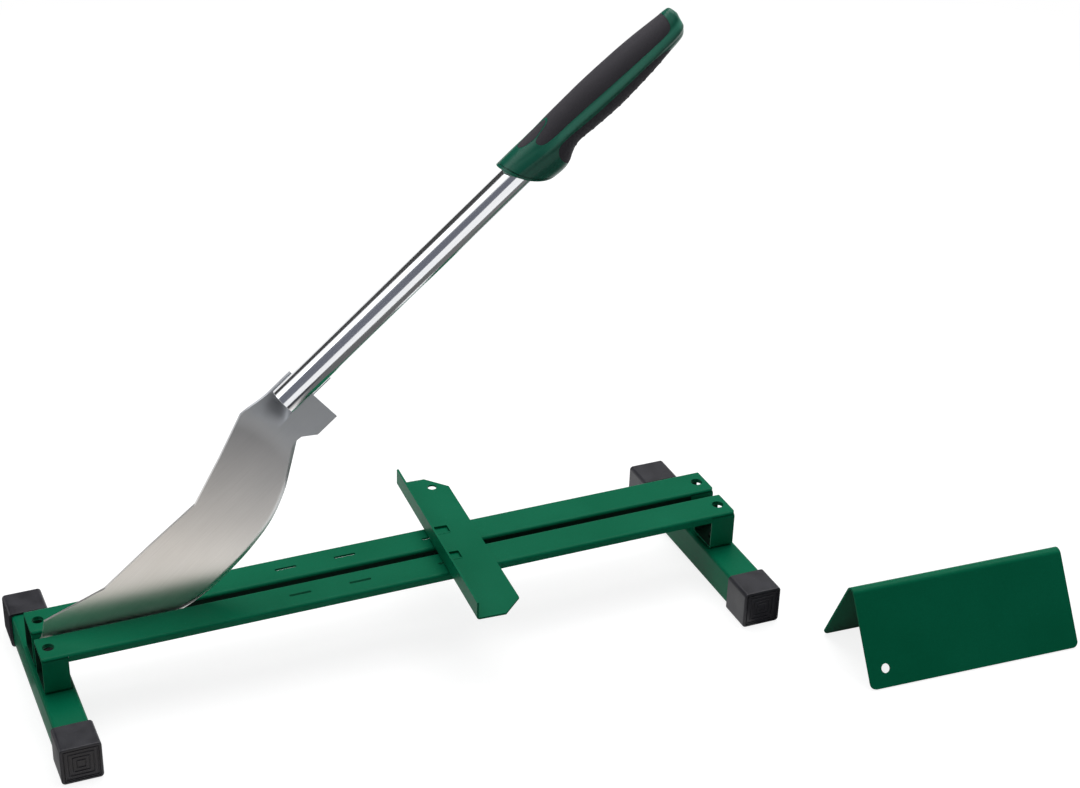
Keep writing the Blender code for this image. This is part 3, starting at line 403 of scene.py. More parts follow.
def sheet_steel(name, dark, light, low, high):
    """Rolled sheet steel with its grain along the blade, faint stains and hair scratches.

    Towards the socket its colour turns darker and bluer, a painted dark reflection, and near the pressed
    socket the sheet is rougher.
    """
    f = Finish(name, metallic=1.0, where=LEVER)
    grain = f.cloud(0.0003, (0.012, 1, 1), detail=3.0, rough=0.6)
    stain = f.cloud(0.045, (0.5, 1, 1), detail=3.0, low=0.35)
    scratch = f.cloud(0.0007, (0.02, 1, 1), detail=0.0, low=0.7, high=0.74)
    length = f.add("SeparateXYZ", {0: f.place}).outputs[0]
    pressed = f.remap(f.math("ADD", length, f.math("MULTIPLY", stain, 0.006)), 0.206, 0.222)
    # Painted dark reflection: the colour darkens and blues towards the socket
    cool = f.remap(f.math("ADD", length, f.math("MULTIPLY", stain, 0.02)), 0.12, 0.232)
    colour = f.blend(grain, dark, light)
    colour = f.blend(f.math("MULTIPLY", stain, 0.25), colour, (0.7, 0.66, 0.6))
    colour = f.blend(f.math("MULTIPLY", scratch, 0.12), colour, (0.78, 0.77, 0.75))
    colour = f.blend(cool, colour, f.blend(1.0, colour, (0.6, 0.635, 0.69), "MULTIPLY"))
    f.bump(grain, 0.000003, 0.1)
    shine = f.math("ADD", f.remap(grain, 0.0, 1.0, low, high), f.math("MULTIPLY", stain, 0.05))
    return f.set(base_color=colour, roughness=f.math("ADD", shine, f.math("MULTIPLY", pressed, 0.3)))


def plated_tube():
    """Bright plated tube with draw lines along it and a slightly wavy polish."""
    f = Finish("bright_plated_tube", metallic=1.0, where=LEVER)
    line = f.cloud(0.0005, (0.004, 1, 1), detail=3.0)
    haze = f.cloud(0.03, (0.3, 1, 1), detail=3.0, low=0.35)
    colour = f.blend(line, (0.8, 0.81, 0.84), (0.9, 0.91, 0.93))
    f.bump(line, 0.000003, 0.5)
    f.bump(f.noise(0.02, (0.25, 1, 1), detail=1.0), 0.00003, 0.4)
    shine = f.math("ADD", f.remap(line, 0.0, 1.0, 0.07, 0.12), f.math("MULTIPLY", haze, 0.04))
    return f.set(base_color=colour, roughness=shine)


def grip_plastic():
    """Moulded green plastic, with a painted highlight along the crest of the ridge on its sides."""
    f = Finish("moulded_green_plastic", specular=0.26, where=LEVER)
    swirl = f.cloud(0.03, (0.5, 1, 1), detail=3.0)
    colour = f.blend(swirl, (0.004, 0.1, 0.062), (0.006, 0.114, 0.071))
    along_lever, _, up = f.add("SeparateXYZ", {0: f.place}).outputs
    # The painted highlight: a paler band along the ridge's crest on each side, fading in from the grip's
    # lower end
    line = f.remap(along_lever, GRIP_START, GRIP_START + GRIP_LENGTH,
                   *(LEVER_OFFSET + rise for rise in PAINTED_HIGHLIGHT_RISE))
    off = f.math("ABSOLUTE", f.math("SUBTRACT", up, line))
    painted_highlight = f.math("MULTIPLY", f.remap(off, *PAINTED_HIGHLIGHT_BREADTH),
                   f.remap(along_lever, *(GRIP_START + place for place in PAINTED_HIGHLIGHT_FADE)))
    colour = f.blend(painted_highlight, colour, (0.045, 0.25, 0.17))
    f.bump(f.noise(0.0007, detail=2.0), 0.00003, 0.35)
    f.bump(f.noise(0.009, detail=1.0), 0.00005, 0.25)
    return f.set(base_color=colour, roughness=f.remap(swirl, 0.0, 1.0, 0.26, 0.33))


def soft_panel(name, feature, depth):
    """Soft black panel with a fine pebbled skin."""
    f = Finish(name, specular=0.2, where=LEVER)
    cloud = f.cloud(0.018, detail=3.0)
    mapping = f.add("Mapping", {"Vector": f.place, "Scale": [1 / feature] * 3})
    pebble = f.add("TexVoronoi", {"Vector": mapping.outputs[0], "Scale": 1.0}).outputs["Distance"]
    colour = f.blend(cloud, (0.04, 0.037, 0.044), (0.052, 0.048, 0.055))
    # Painted shade: darker in the grooves between the pebbles
    colour = f.blend(f.remap(pebble, 0.2, 0.8, 0.0, 0.35), colour, (0.027, 0.025, 0.03))
    f.bump(f.math("MULTIPLY", pebble, -1.0), depth, 0.7)
    return f.set(base_color=colour, roughness=f.remap(cloud, 0.0, 1.0, 0.66, 0.8))


# Shapes

def arc(centre, radius, start, end, steps):
    """Points on a circle from one angle to another, both ends counted."""
    angles = (start + (end - start) * step / steps for step in range(steps + 1))
    return [(centre[0] + radius * cos(angle), centre[1] + radius * sin(angle)) for angle in angles]


def circle(radius, steps=48, centre=(0, 0)):
    return arc(centre, radius, 0, 2 * pi, steps)[:-1]


def rounded_box(width, height, radius, centre=(0, 0)):
    """A rectangle with round corners, counterclockwise from its right side."""
    right, top = width / 2 - radius, height / 2 - radius
    corners = ((right, top, 0), (-right, top, pi / 2), (-right, -top, pi), (right, -top, 3 * pi / 2))
    points = []
    for x, y, angle in corners:
        points += arc((centre[0] + x, centre[1] + y), radius, angle, angle + pi / 2, STEPS)
    return points


def smooth(points, steps):
    """A smooth curve through the points, with a few steps between each two."""
    ends = (points[0], *points, points[-1])
    curve = []
    for before, start, end, after in zip(ends, ends[1:], ends[2:], ends[3:]):
        for step in range(steps):
            t = step / steps
            curve.append(tuple(
                ((2 * b) + (c - a) * t + (2 * a - 5 * b + 4 * c - d) * t * t
                 + (3 * b - a - 3 * c + d) * t * t * t) / 2
                for a, b, c, d in zip(before, start, end, after)))
    return curve + [tuple(points[-1])]


def softened(outline):
    """A closed outline with its corners cut three times over, until it is smooth."""
    for _ in range(3):
        cut = []
        for here, there in zip(outline, (*outline[1:], outline[0])):
            cut += [tuple(a * 0.75 + b * 0.25 for a, b in zip(here, there)),
                    tuple(a * 0.25 + b * 0.75 for a, b in zip(here, there))]
        outline = cut
    return outline


def clamp(value):
    return min(max(value, 0), 1)


def height_at(line, place):
    """The height of a line of points at a place along it, with the points in order."""
    for start, end in zip(line, line[1:]):
        if place <= end[0]:
            share = max(place - start[0], 0) / (end[0] - start[0])
            return start[1] + (end[1] - start[1]) * share
    return line[-1][1]


def direction(start, end):
    return (Vector(end) - Vector(start)).normalized()


def mitred(here, entering, leaving, distance):
    """A corner moved to the right of the two runs that meet in it, by a distance from both."""
    bisector = Vector((entering.y + leaving.y, -entering.x - leaving.x)).normalized()
    return tuple(Vector(here) + bisector * (distance / bisector.dot(Vector((entering.y, -entering.x)))))


def sides_of(midline, thickness):
    """The two faces of a bent sheet, each as far from its mid-line, with mitred bends."""
    runs = [direction(start, end) for start, end in zip(midline, midline[1:])]
    corners = list(zip(midline, (runs[0], *runs), (*runs, runs[-1])))
    return [[mitred(*corner, side * thickness / 2) for corner in corners] for side in (-1, 1)]


def grown(outline, distance):
    """A counterclockwise outline moved outwards by a distance, with mitred corners."""
    return [mitred(here, direction(before, here), direction(here, after), distance)
            for before, here, after in zip((outline[-1], *outline), outline, (*outline[1:], outline[0]))]


def counterclockwise(outline):
    twice_area = sum(a[0] * b[1] - b[0] * a[1] for a, b in zip(outline, (*outline[1:], outline[0])))
    return list(outline) if twice_area > 0 else list(reversed(outline))


def along(axis, outline, place):
    """Puts a flat outline across one of the axes, at a place on it."""
    if axis == "X":
        return [Vector((place, a, b)) for a, b in outline]
    if axis == "Y":
        return [Vector((a, place, b)) for a, b in outline]
    return [Vector((a, b, place)) for a, b in outline]


def new_object(name, data):
    item = bpy.data.objects.new(name, data)
    bpy.context.scene.collection.objects.link(item)
    return item


def skin(name, rings, finish, closed=False, where=STAND, second=None):
    """One closed solid through a row of rings with as many points each, moved where it belongs.

    Its ends are capped, or with closed the last ring joins on to the first. With a list of two
    finishes, second says by its row and its place in the row whether a face takes the second.
    """
    mesh = bmesh.new()
    rows = [[mesh.verts.new(where @ point) for point in ring] for ring in rings]
    pairs = list(zip(rows, rows[1:]))
    if closed:
        pairs.append((rows[-1], rows[0]))
    else:
        mesh.faces.new(list(reversed(rows[0])))
        mesh.faces.new(rows[-1])
    for number, (low, high) in enumerate(pairs):
        for here, there in zip(range(len(low)), (*range(1, len(low)), 0)):
            face = mesh.faces.new((low[here], low[there], high[there], high[here]))
            face.material_index = 1 if second and second(number, here) else 0
    bmesh.ops.recalc_face_normals(mesh, faces=mesh.faces)
    data = bpy.data.meshes.new(name)
    mesh.to_mesh(data)
    mesh.free()
    for material in finish if isinstance(finish, list) else [finish]:
        data.materials.append(material)
    data.shade_smooth()
    data.set_sharp_from_angle(angle=SHARP_ANGLE)
    return new_object(name, data)


def prism(name, axis, outline, low, high, finish, where=STAND):
    """A flat outline drawn out along an axis."""
    return skin(name, [along(axis, outline, low), along(axis, outline, high)], finish, where=where)


def pipe(name, axis, outer, inner, low, high, finish, where=STAND):
    """A hollow bar with open ends, between two outlines with as many points.

    With two finishes, the second is that of its inside.
    """
    rings = [along(axis, outline, end) for outline, end in
             ((outer, low), (outer, high), (inner, high), (inner, low))]
    inside = 2 if isinstance(finish, list) else None
    return skin(name, rings, finish, closed=True, where=where, second=lambda row, _: row == inside)


def combine(item, tool, operation="DIFFERENCE"):
    """Cuts, joins or trims a piece with a tool, which is taken away at the end."""
    tool.hide_render = True
    tools.append(tool)
    step = item.modifiers.new(tool.name, "BOOLEAN")
    step.operation = operation
    step.object = tool


def drill(item, axis, diameter, low, high, centre, where=STAND):
    """Drills a round hole through a wall that lies between two places on an axis."""
    name = f"{item.name}_hole_{len(item.modifiers)}"
    outline = circle(diameter / 2, centre=centre)
    combine(item, prism(name, axis, outline, low - OVERRUN, high + OVERRUN, item.data.materials[0], where))


def keep(item, body, slot, *nodes, edge=EDGE):
    """Rounds a piece's cut edges and puts it in the place of its CAD nodes."""
    if edge:
        bevel = item.modifiers.new("edges", "BEVEL")
        bevel.width = edge
        bevel.segments = 2
        bevel.limit_method = "ANGLE"
        bevel.angle_limit = BEVEL_ANGLE
        bevel.miter_outer = "MITER_ARC"
    normals = item.modifiers.new("normals", "WEIGHTED_NORMAL")
    normals.keep_sharp = not edge
    normals.weight = 80
    made.append((item, body, slot, nodes))


def settle():
    """Applies every piece's modifiers, takes the tools away and hands the pieces over."""
    graph = bpy.context.evaluated_depsgraph_get()
    settled = [bpy.data.meshes.new_from_object(item.evaluated_get(graph), depsgraph=graph,
                                               preserve_all_data_layers=True) for item, *_ in made]
    for (item, *_), data in zip(made, settled):
        data.name = item.name
        item.modifiers.clear()
        item.data = data
    for tool in tools:
        bpy.data.objects.remove(tool, do_unlink=True)
    for item, body, slot, nodes in made:
        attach(item, body)
        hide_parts(*nodes)


# Stand: its tubes and rails have one coat outside, and a duller, near-black painted shade inside them and
# beside the blade's gap

def cross_tube(end, side, coat_and_shade):
    """A square tube from front to back, with holes in its top for the risers' screws."""
    centre = (side * TUBE_PLACE, TUBE_AXIS_Z)
    outer = rounded_box(TUBE_SIDE, TUBE_SIDE, TUBE_CORNER, centre=centre)
    hollow = TUBE_SIDE - 2 * TUBE_WALL
    inner = rounded_box(hollow, hollow, TUBE_CORNER - TUBE_WALL, centre=centre)
    reach = STAND_DEPTH / 2 - CAP_END - FIT_GAP
    tube = pipe(f"crossbar_{end}", "Y", outer, inner, -reach, reach, coat_and_shade)
    for row, across in SIDES:
        drill(tube, "Z", SCREW_SHANK, TUBE_TOP - TUBE_WALL, TUBE_TOP,
              (side * ACCESS_PLACE, across * RAIL_MIDDLE))
    keep(tube, "stand", "powder_coat", f"cross_tube_{end}")


def end_cap(end, side, row, across, finish):
    """A rubber cap with a soft outer edge and square mouldings, one inside the other."""
    centre = (side * TUBE_PLACE, TUBE_AXIS_Z)
    mouth = across * (STAND_DEPTH / 2 - CAP_LENGTH)
    face = across * STAND_DEPTH / 2
    floor = across * (STAND_DEPTH / 2 - CAP_END)
    sleeve = TUBE_SIDE + 2 * FIT_GAP

    def ring(grow, place):
        side_now = CAP_SIDE + 2 * grow
        corner = max(CAP_CORNER + grow, CAP_LEAST_CORNER)
        return along("Y", rounded_box(side_now, side_now, corner, centre=centre), place)

    inner = rounded_box(sleeve, sleeve, TUBE_CORNER + FIT_GAP, centre=centre)
    inwards, onwards = CAP_MOUTH_EDGE
    rings = [along("Y", inner, floor), along("Y", inner, mouth),
             ring(-inwards, mouth), ring(0, mouth + across * onwards)]
    for step in range(STEPS + 1):
        turn = pi / 2 * step / STEPS
        rings.append(ring(-CAP_EDGE * (1 - cos(turn)), face - across * CAP_EDGE * (1 - sin(turn))))
    deep = face - across * CAP_SINK
    rings += [ring(reach - CAP_SIDE / 2, place) for reach, place in zip(CAP_RIM, (face, deep))]
    for reach in CAP_SQUARES:
        rings += [ring(reach + out - CAP_SIDE / 2, place)
                  for out, place in zip(CAP_SQUARE_STEPS, (deep, face, face, deep))]
    cap = skin(f"foot_cap_{end}_{row}", rings, finish)
    keep(cap, "stand", "rubber", f"end_cap_{end}_{row}", edge=0)


def rail_section(across):
    """A rail's inverted U, round the middle of its own width."""
    half = RAIL_WIDTH / 2
    front_low, back_low = RAIL_TOP - RAIL_FLANGE, RAIL_TOP - RAIL_INNER_FLANGE
    if across > 0:
        front_low, back_low = back_low, front_low
    outside = [(half, back_low)]
    outside += arc((half - RAIL_BEND, RAIL_TOP - RAIL_BEND), RAIL_BEND, 0, pi / 2, STEPS)
    outside += arc((RAIL_BEND - half, RAIL_TOP - RAIL_BEND), RAIL_BEND, pi / 2, pi, STEPS)
    outside.append((-half, front_low))
    inner = half - RAIL_SHEET
    bend = RAIL_BEND - RAIL_SHEET
    ceiling = RAIL_TOP - RAIL_SHEET
    inside = [(-inner, front_low)]
    inside += arc((bend - inner, ceiling - bend), bend, pi, pi / 2, STEPS)
    inside += arc((inner - bend, ceiling - bend), bend, pi / 2, 0, STEPS)
    inside.append((inner, back_low))
    return [(a + across * RAIL_MIDDLE, b) for a, b in outside + inside]


def rail(row, across, coat_and_shade):
    """A bent sheet rail with its ends notched over the risers, screw holes and slots."""
    name = f"board_rail_{row}"
    section = rail_section(across)
    half = len(section) // 2
    # The hollow and the face beside the blade's gap take the near-black painted shade
    dull = {*range(half, 2 * half - 1), half - 2 if across > 0 else 0}
    item = skin(name, [along("X", section, -RAIL_END), along("X", section, RAIL_END)],
                coat_and_shade, second=lambda _, spot: spot in dull)
    plan = rounded_box(RAIL_LENGTH, RAIL_WIDTH, RAIL_END_CORNER, centre=(0, across * RAIL_MIDDLE))
    under, over = RAIL_TOP - RAIL_INNER_FLANGE - OVERRUN, RAIL_TOP + OVERRUN
    combine(item, prism(f"{name}_plan", "Z", plan, under, over, coat_and_shade[0]), "INTERSECT")
    for end, side in ENDS:
        reach = RISER_LENGTH + NOTCH_GAP + OVERRUN
        middle = (side * (RAIL_END - RISER_LENGTH - NOTCH_GAP + reach / 2), across * RAIL_MIDDLE)
        notch = rounded_box(reach, RAIL_WIDTH + 2 * OVERRUN, NOTCH_GAP, centre=middle)
        combine(item, prism(f"{name}_{end}_notch", "Z", notch, under, RISER_TOP + FIT_GAP, coat_and_shade[0]))
        drill(item, "Z", ACCESS_HOLE, RAIL_TOP - RAIL_SHEET, RAIL_TOP,
              (side * ACCESS_PLACE, across * RAIL_MIDDLE))
    for number, (start, length) in enumerate(SLOTS):
        slot = rounded_box(length, SLOT_WIDTH, SLOT_CORNER,
                           centre=(start + length / 2, across * RAIL_MIDDLE))
        combine(item, prism(f"{name}_slot_{number}", "Z", slot, RAIL_TOP - RAIL_SHEET - OVERRUN,
                            over, coat_and_shade[0]))
    keep(item, "stand", "powder_coat", f"rail_{row}")


def riser(end, side, row, across, coat_and_shade):
    """A short piece of tube under a rail's end. The left ones carry the pivot."""
    centre = (across * RAIL_MIDDLE, (RISER_BOTTOM + RISER_TOP) / 2)
    outer = rounded_box(RAIL_WIDTH, RISER_HEIGHT, RISER_CORNER, centre=centre)
    inner = rounded_box(RAIL_WIDTH - 2 * RISER_WALL, RISER_HEIGHT - 2 * RISER_WALL,
                        RISER_CORNER - RISER_WALL, centre=centre)
    low, high = sorted((side * (RAIL_END - RISER_LENGTH), side * RAIL_END))
    item = pipe(f"stub_{end}_{row}", "X", outer, inner, low, high, coat_and_shade)
    spot = (side * ACCESS_PLACE, across * RAIL_MIDDLE)
    drill(item, "Z", ACCESS_HOLE, RISER_TOP - RISER_WALL, RISER_TOP, spot)
    drill(item, "Z", SCREW_SHANK, RISER_BOTTOM, RISER_BOTTOM + RISER_WALL, spot)
    if side < 0:
        wall = sorted(across * (RAIL_GAP / 2 + depth) for depth in (0, RISER_WALL))
        drill(item, "Y", PIVOT_HOLE, *wall, (PIVOT.x, PIVOT.z))
    keep(item, "stand", "powder_coat", f"riser_{end}_{row}")


# Lever

def blade_lines():
    """The blade's lower and upper outline, both from its nose to the end of its hook."""
    lug = arc((0, 0), BLADE_LUG, LUG_START, LUG_TOP_END, STEPS)
    under = [(place, -height) for place, height in
             arc((0, 0), BLADE_LUG, LUG_START, LUG_UNDER_END, 2 * STEPS)]
    edge = smooth([(a * BLADE_REACH, -b * BLADE_BELLY) for a, b in EDGE_LINE], 8)
    hook = [(a * BLADE_REACH, -b * BLADE_BELLY) for a, b in NOTCH]
    back = [(a * BLADE_REACH, b * BLADE_SHOULDER) for a, b in NOSE + BACK]
    return under + edge + hook, lug + back


def blade_section(place, lower, upper):
    """Flat over most of the blade's length, a trough under the tube, blended in between."""
    low, high = height_at(lower, place), height_at(upper, place)
    first, last = EDGE_LINE[0][0] * BLADE_REACH, EDGE_LINE[-1][0] * BLADE_REACH
    ground = BLADE_GRIND * clamp(min(place - first, last - place) / (BLADE_GRIND_RUN * BLADE_REACH))
    foot = low + ground
    radius = SOCKET_INSIDE + BLADE_THICKNESS / 2
    floor = LEVER_OFFSET - radius
    count = BLADE_LEVELS + BLADE_TURNS + 1
    flat = [(0, foot + (high - foot) * step / count) for step in range(count + 1)]
    trough = [(0, foot + (floor - foot) * step / BLADE_LEVELS) for step in range(BLADE_LEVELS)]
    trough += arc((0, LEVER_OFFSET), radius, -pi / 2, 0, BLADE_TURNS)
    trough.append((radius, LEVER_OFFSET + SOCKET_BACK_HEIGHT))
    share = clamp((place - SOCKET_START) / SOCKET_RUN + 1)
    ease = share * share * (3 - 2 * share)
    midline = [(a[0] * (1 - ease) + b[0] * ease, a[1] * (1 - ease) + b[1] * ease)
               for a, b in zip(flat, trough)]
    front, back = sides_of(midline, BLADE_THICKNESS)
    return along("X", [(0, low), *back, *reversed(front)], place)


def blade(finish, edge_finish):
    """One pressed sheet from the pivot to the hook and the tube's trough, with a ground edge."""
    lower, upper = blade_lines()
    end = SOCKET_START + SOCKET_LENGTH
    start = lower[0][0]
    spots = {start + (end - start) * step / BLADE_RINGS for step in range(BLADE_RINGS + 1)}
    corners = {place for place, height in (*lower, *upper) if place < end} | {SOCKET_START}
    least = (end - start) / BLADE_RINGS / 2
    spots = sorted(corners | {spot for spot in spots if min(abs(spot - c) for c in corners) > least})
    rings = [blade_section(spot, lower, upper) for spot in spots]
    item = skin("cutting_blade", rings, [finish, edge_finish], where=LEVER,
                second=lambda _, spot: spot in (0, len(rings[0]) - 1))
    half = BLADE_THICKNESS / 2
    floor = LEVER_OFFSET - SOCKET_INSIDE - BLADE_THICKNESS
    reach = end + OVERRUN
    hook = [(BLADE_REACH, -BLADE_BELLY), (reach, -BLADE_BELLY), (reach, floor), (BLADE_REACH, floor)]
    combine(item, prism("hook_trim", "Y", hook, -half - OVERRUN, half + OVERRUN, finish, LEVER))
    inset = SOCKET_START + SOCKET_BACK_LENGTH
    waist = LEVER_OFFSET - SOCKET_INSIDE / 2
    top = LEVER_OFFSET + SOCKET_BACK_HEIGHT + OVERRUN
    wall = [(inset, waist), (reach, waist), (reach, top), (inset, top)]
    combine(item, prism("socket_trim", "Y", wall, 0, SOCKET_INSIDE + 2 * BLADE_THICKNESS + OVERRUN,
                        finish, LEVER))
    drill(item, "Y", PIVOT_HOLE, -half, half, (0, 0), LEVER)
    keep(item, "lever", "blade_steel", "blade", edge=BLADE_EDGE)


def lever_tube(finish):
    outer = circle(LEVER_RADIUS, 96, (0, LEVER_OFFSET))
    inner = circle(LEVER_RADIUS - LEVER_TUBE_WALL, 96, (0, LEVER_OFFSET))
    item = pipe("plated_lever", "X", outer, inner, LEVER_TUBE_START, LEVER_TUBE_END, finish, LEVER)
    keep(item, "lever", "lever_steel", "lever_tube", edge=SOFT_EDGE)


def grip_rings(inset, around=72, fine=5, ribs=0.0, ridge=0.0):
    """Cross-sections of the grip's form, drawn in by an inset.

    It may have ribs round its under side, or a ridge along the green stripe on each side.
    """
    rings = []
    for place, top, bottom, breadth in smooth(GRIP_FORM, fine):
        high = top * GRIP_RISE - inset
        low = -bottom * GRIP_RISE + inset
        wide = breadth * GRIP_BREADTH - inset
        middle, tall = LEVER_OFFSET + (high + low) / 2, (high - low) / 2
        u = GRIP_START + place * GRIP_LENGTH
        ring = []
        for a, b in circle(1, around):
            lift = 0.0
            if ridge:
                off = (middle + tall * b - LEVER_OFFSET) / GRIP_RISE - height_at(RIDGE, place)
                lift = ridge * max(1 - abs(off) / RIDGE_FALL[0 if off > 0 else 1], 0)
            if ribs:
                # The ribs lean towards the tip on their way down
                wave = abs(((u - GRIP_START) / RIB_PITCH + RIB_LEAN * b) % 1.0 - 0.5) * 2
                fade = clamp(-b / RIB_RISE)
                for start, run in RIB_ENDS:
                    fade *= clamp((place - start) / run)
                lift = ribs * fade * (1 - min(wave / RIB_WIDTH, 1)) ** RIB_ROUND
            ring.append(Vector((u, (wide + lift) * a, middle + (tall + lift) * b)))
        rings.append(ring)
    return rings


def grip_points(shares):
    return [(GRIP_START + a * GRIP_LENGTH, LEVER_OFFSET + b * GRIP_RISE) for a, b in shares]


def side_prism(name, shares, growth, finish):
    """A solid right through the grip, with a softened outline given from the side."""
    outline = grown(counterclockwise(softened(grip_points(shares))), growth)
    return prism(name, "Y", outline, -GRIP_REACH, GRIP_REACH, finish, LEVER)


def collar_outline(start, end, before=0.0):
    """The side view of a band between two places, both bent as the collar's rim is.

    With before, it starts straight instead, that far below the grip.
    """
    rim = smooth(grip_points(COLLAR_RIM), 5)
    near = [(GRIP_START - before if before else u + start, v) for u, v in rim]
    return near + [(u + end, v) for u, v in reversed(rim)]


def grip(shell, panel, ribbed):
    """The hard grip with its slanted collar, and three soft panels let into recesses in it."""
    core = skin("grip_shell", grip_rings(GRIP_INSET, around=144, ridge=RIDGE_HEIGHT), shell, where=LEVER)
    below = counterclockwise(collar_outline(0, 0, before=GRIP_ROOM))
    combine(core, prism("collar_cut", "Y", below, -GRIP_REACH, GRIP_REACH, shell, LEVER))
    bore = circle(SOCKET_INSIDE, 96, (0, LEVER_OFFSET))
    combine(core, prism("grip_bore", "X", bore, GRIP_START - GRIP_ROOM, LEVER_TUBE_END + FIT_GAP,
                        shell, LEVER))
    band = counterclockwise(collar_outline(*COLLAR_GROOVE))
    groove = prism("collar_groove", "Y", band, -GRIP_REACH, GRIP_REACH, shell, LEVER)
    combine(groove, skin("collar_groove_floor", grip_rings(GROOVE_DEPTH), shell, where=LEVER))
    combine(core, groove)
    pads = (("top", TOP_PAD, panel, 5, 0.0), ("ribbed", LOW_PAD, ribbed, 22, RIB_HEIGHT),
            ("back", BACK_PAD, panel, 5, 0.0))
    for name, shares, finish, fine, ribs in pads:
        pad = skin(f"soft_{name}", grip_rings(PAD_INSET, fine=fine, ribs=ribs), finish, where=LEVER)
        combine(pad, side_prism(f"{name}_outline", shares, -PAD_GAP, finish), "INTERSECT")
        combine(pad, skin(f"{name}_inside", grip_rings(PAD), finish, where=LEVER))
        recess = side_prism(f"{name}_recess", shares, PAD_GAP, shell)
        combine(recess, skin(f"{name}_floor", grip_rings(PAD + FIT_GAP), shell, where=LEVER))
        combine(core, recess)
        keep(pad, "lever", "grip_pad", f"grip_pad_{name}", edge=SOFT_EDGE)
    keep(core, "lever", "grip_shell", "grip_core", edge=SOFT_EDGE)


# Stop and board rest

def stop_section(width):
    """The stop's L, with its turned-up edge on the side of the blade's pivot."""
    left = -STOP_WIDTH / 2
    inner = STOP_BEND - STOP_SHEET
    outside = [(left + width, 0)]
    outside += arc((left + STOP_BEND, STOP_BEND), STOP_BEND, 3 * pi / 2, pi, STEPS)
    outside += [(left, STOP_FLANGE), (left + STOP_SHEET, STOP_FLANGE)]
    outside += arc((left + STOP_BEND, STOP_BEND), inner, pi, 3 * pi / 2, STEPS)
    return outside + [(left + width, STOP_SHEET)]


def stop(finish):
    """One bent sheet with chamfered ends, a hole and two tabs bent down out of openings."""
    half = STOP_LENGTH / 2
    narrow = STOP_WIDTH - STOP_CHAMFER
    rings = [along("Y", stop_section(width), depth) for width, depth in
             ((narrow, -half), (STOP_WIDTH, STOP_CHAMFER - half),
              (STOP_WIDTH, half - STOP_CHAMFER), (narrow, half))]
    item = skin("edge_stop", rings, finish, where=STOP)
    drill(item, "Z", STOP_HOLE, 0, STOP_SHEET, (STOP_HOLE_SIDE, half - STOP_HOLE_INSET), STOP)
    for (row, across), tab_side in zip(SIDES, TAB_SIDES):
        depth = (across * RAIL_MIDDLE - tab_side * sin(STOP_TURN)) / cos(STOP_TURN)
        low, high = depth - STOP_SHEET / 2, depth + STOP_SHEET / 2
        left, right = tab_side - TAB_LENGTH / 2, tab_side + TAB_LENGTH / 2
        opening = rounded_box(TAB_LENGTH, TAB_OPENING + OVERRUN, TAB_OPENING_CORNER,
                              centre=(tab_side, high + (TAB_OPENING - OVERRUN) / 2))
        combine(item, prism(f"stop_{row}_opening", "Z", opening, -OVERRUN, STOP_SHEET + OVERRUN,
                            finish, STOP))
        inset = STOP_SHEET
        tab = [(left, TAB_ROOT), (left, inset - TAB_DEPTH), (left + inset, -TAB_DEPTH),
               (right - inset, -TAB_DEPTH), (right, inset - TAB_DEPTH), (right, TAB_ROOT)]
        combine(item, prism(f"stop_{row}_tab", "Y", tab, low, high, finish, STOP), "UNION")
    keep(item, "stop", "powder_coat", "stop")


def board_rest(finish):
    """One sheet bent to a ridge, with rounded lower corners and a hole in its front slope."""
    front_slope = atan2(REST_HEIGHT, REST_FRONT_FOOT)
    back_slope = atan2(REST_HEIGHT, REST_BACK_FOOT)
    spread = (pi - front_slope - back_slope) / 2
    apex = REST_HEIGHT - REST_SHEET / 2 + REST_BEND * (1 / sin(spread) - 1)
    tilt = (front_slope - back_slope) / 2
    centre = (REST_BEND / sin(spread) * sin(tilt), apex - REST_BEND / sin(spread) * cos(tilt))
    bend = arc(centre, REST_BEND, pi / 2 + front_slope, pi / 2 - back_slope, 3 * STEPS)
    steps = [1 - cos(pi / 2 * step / STEPS) for step in range(STEPS + 1)]
    rounding = [(REST_CORNER * step, REST_CORNER * (1 - sqrt(1 - (1 - step) ** 2))) for step in steps]
    mirrored = [(REST_LENGTH - place, cut) for place, cut in reversed(rounding)]
    rings = []
    for place, cut in rounding + mirrored:
        feet = []
        for side, slope in ((-1, front_slope), (1, back_slope)):
            up = REST_SHEET / 2 * cos(slope) + cut * sin(slope)
            feet.append((side * (apex - up) / tan(slope), up))
        front, back = sides_of([feet[0], *bend, feet[1]], REST_SHEET)
        rings.append(along("X", [*front, *reversed(back)], place))
    item = skin("board_prop", rings, finish, where=REST)
    spot = (REST_HOLE_ALONG, (REST_HOLE_UP - apex) / tan(front_slope), REST_HOLE_UP)
    turn = REST @ Matrix.Translation(spot) @ Matrix.Rotation(front_slope, 4, "X")
    combine(item, prism("board_prop_hole", "Z", circle(REST_HOLE / 2), -REST_SHEET * 2 - OVERRUN,
                        REST_SHEET + OVERRUN, finish, turn))
    keep(item, "stand", "powder_coat", "board_rest")


# Studio

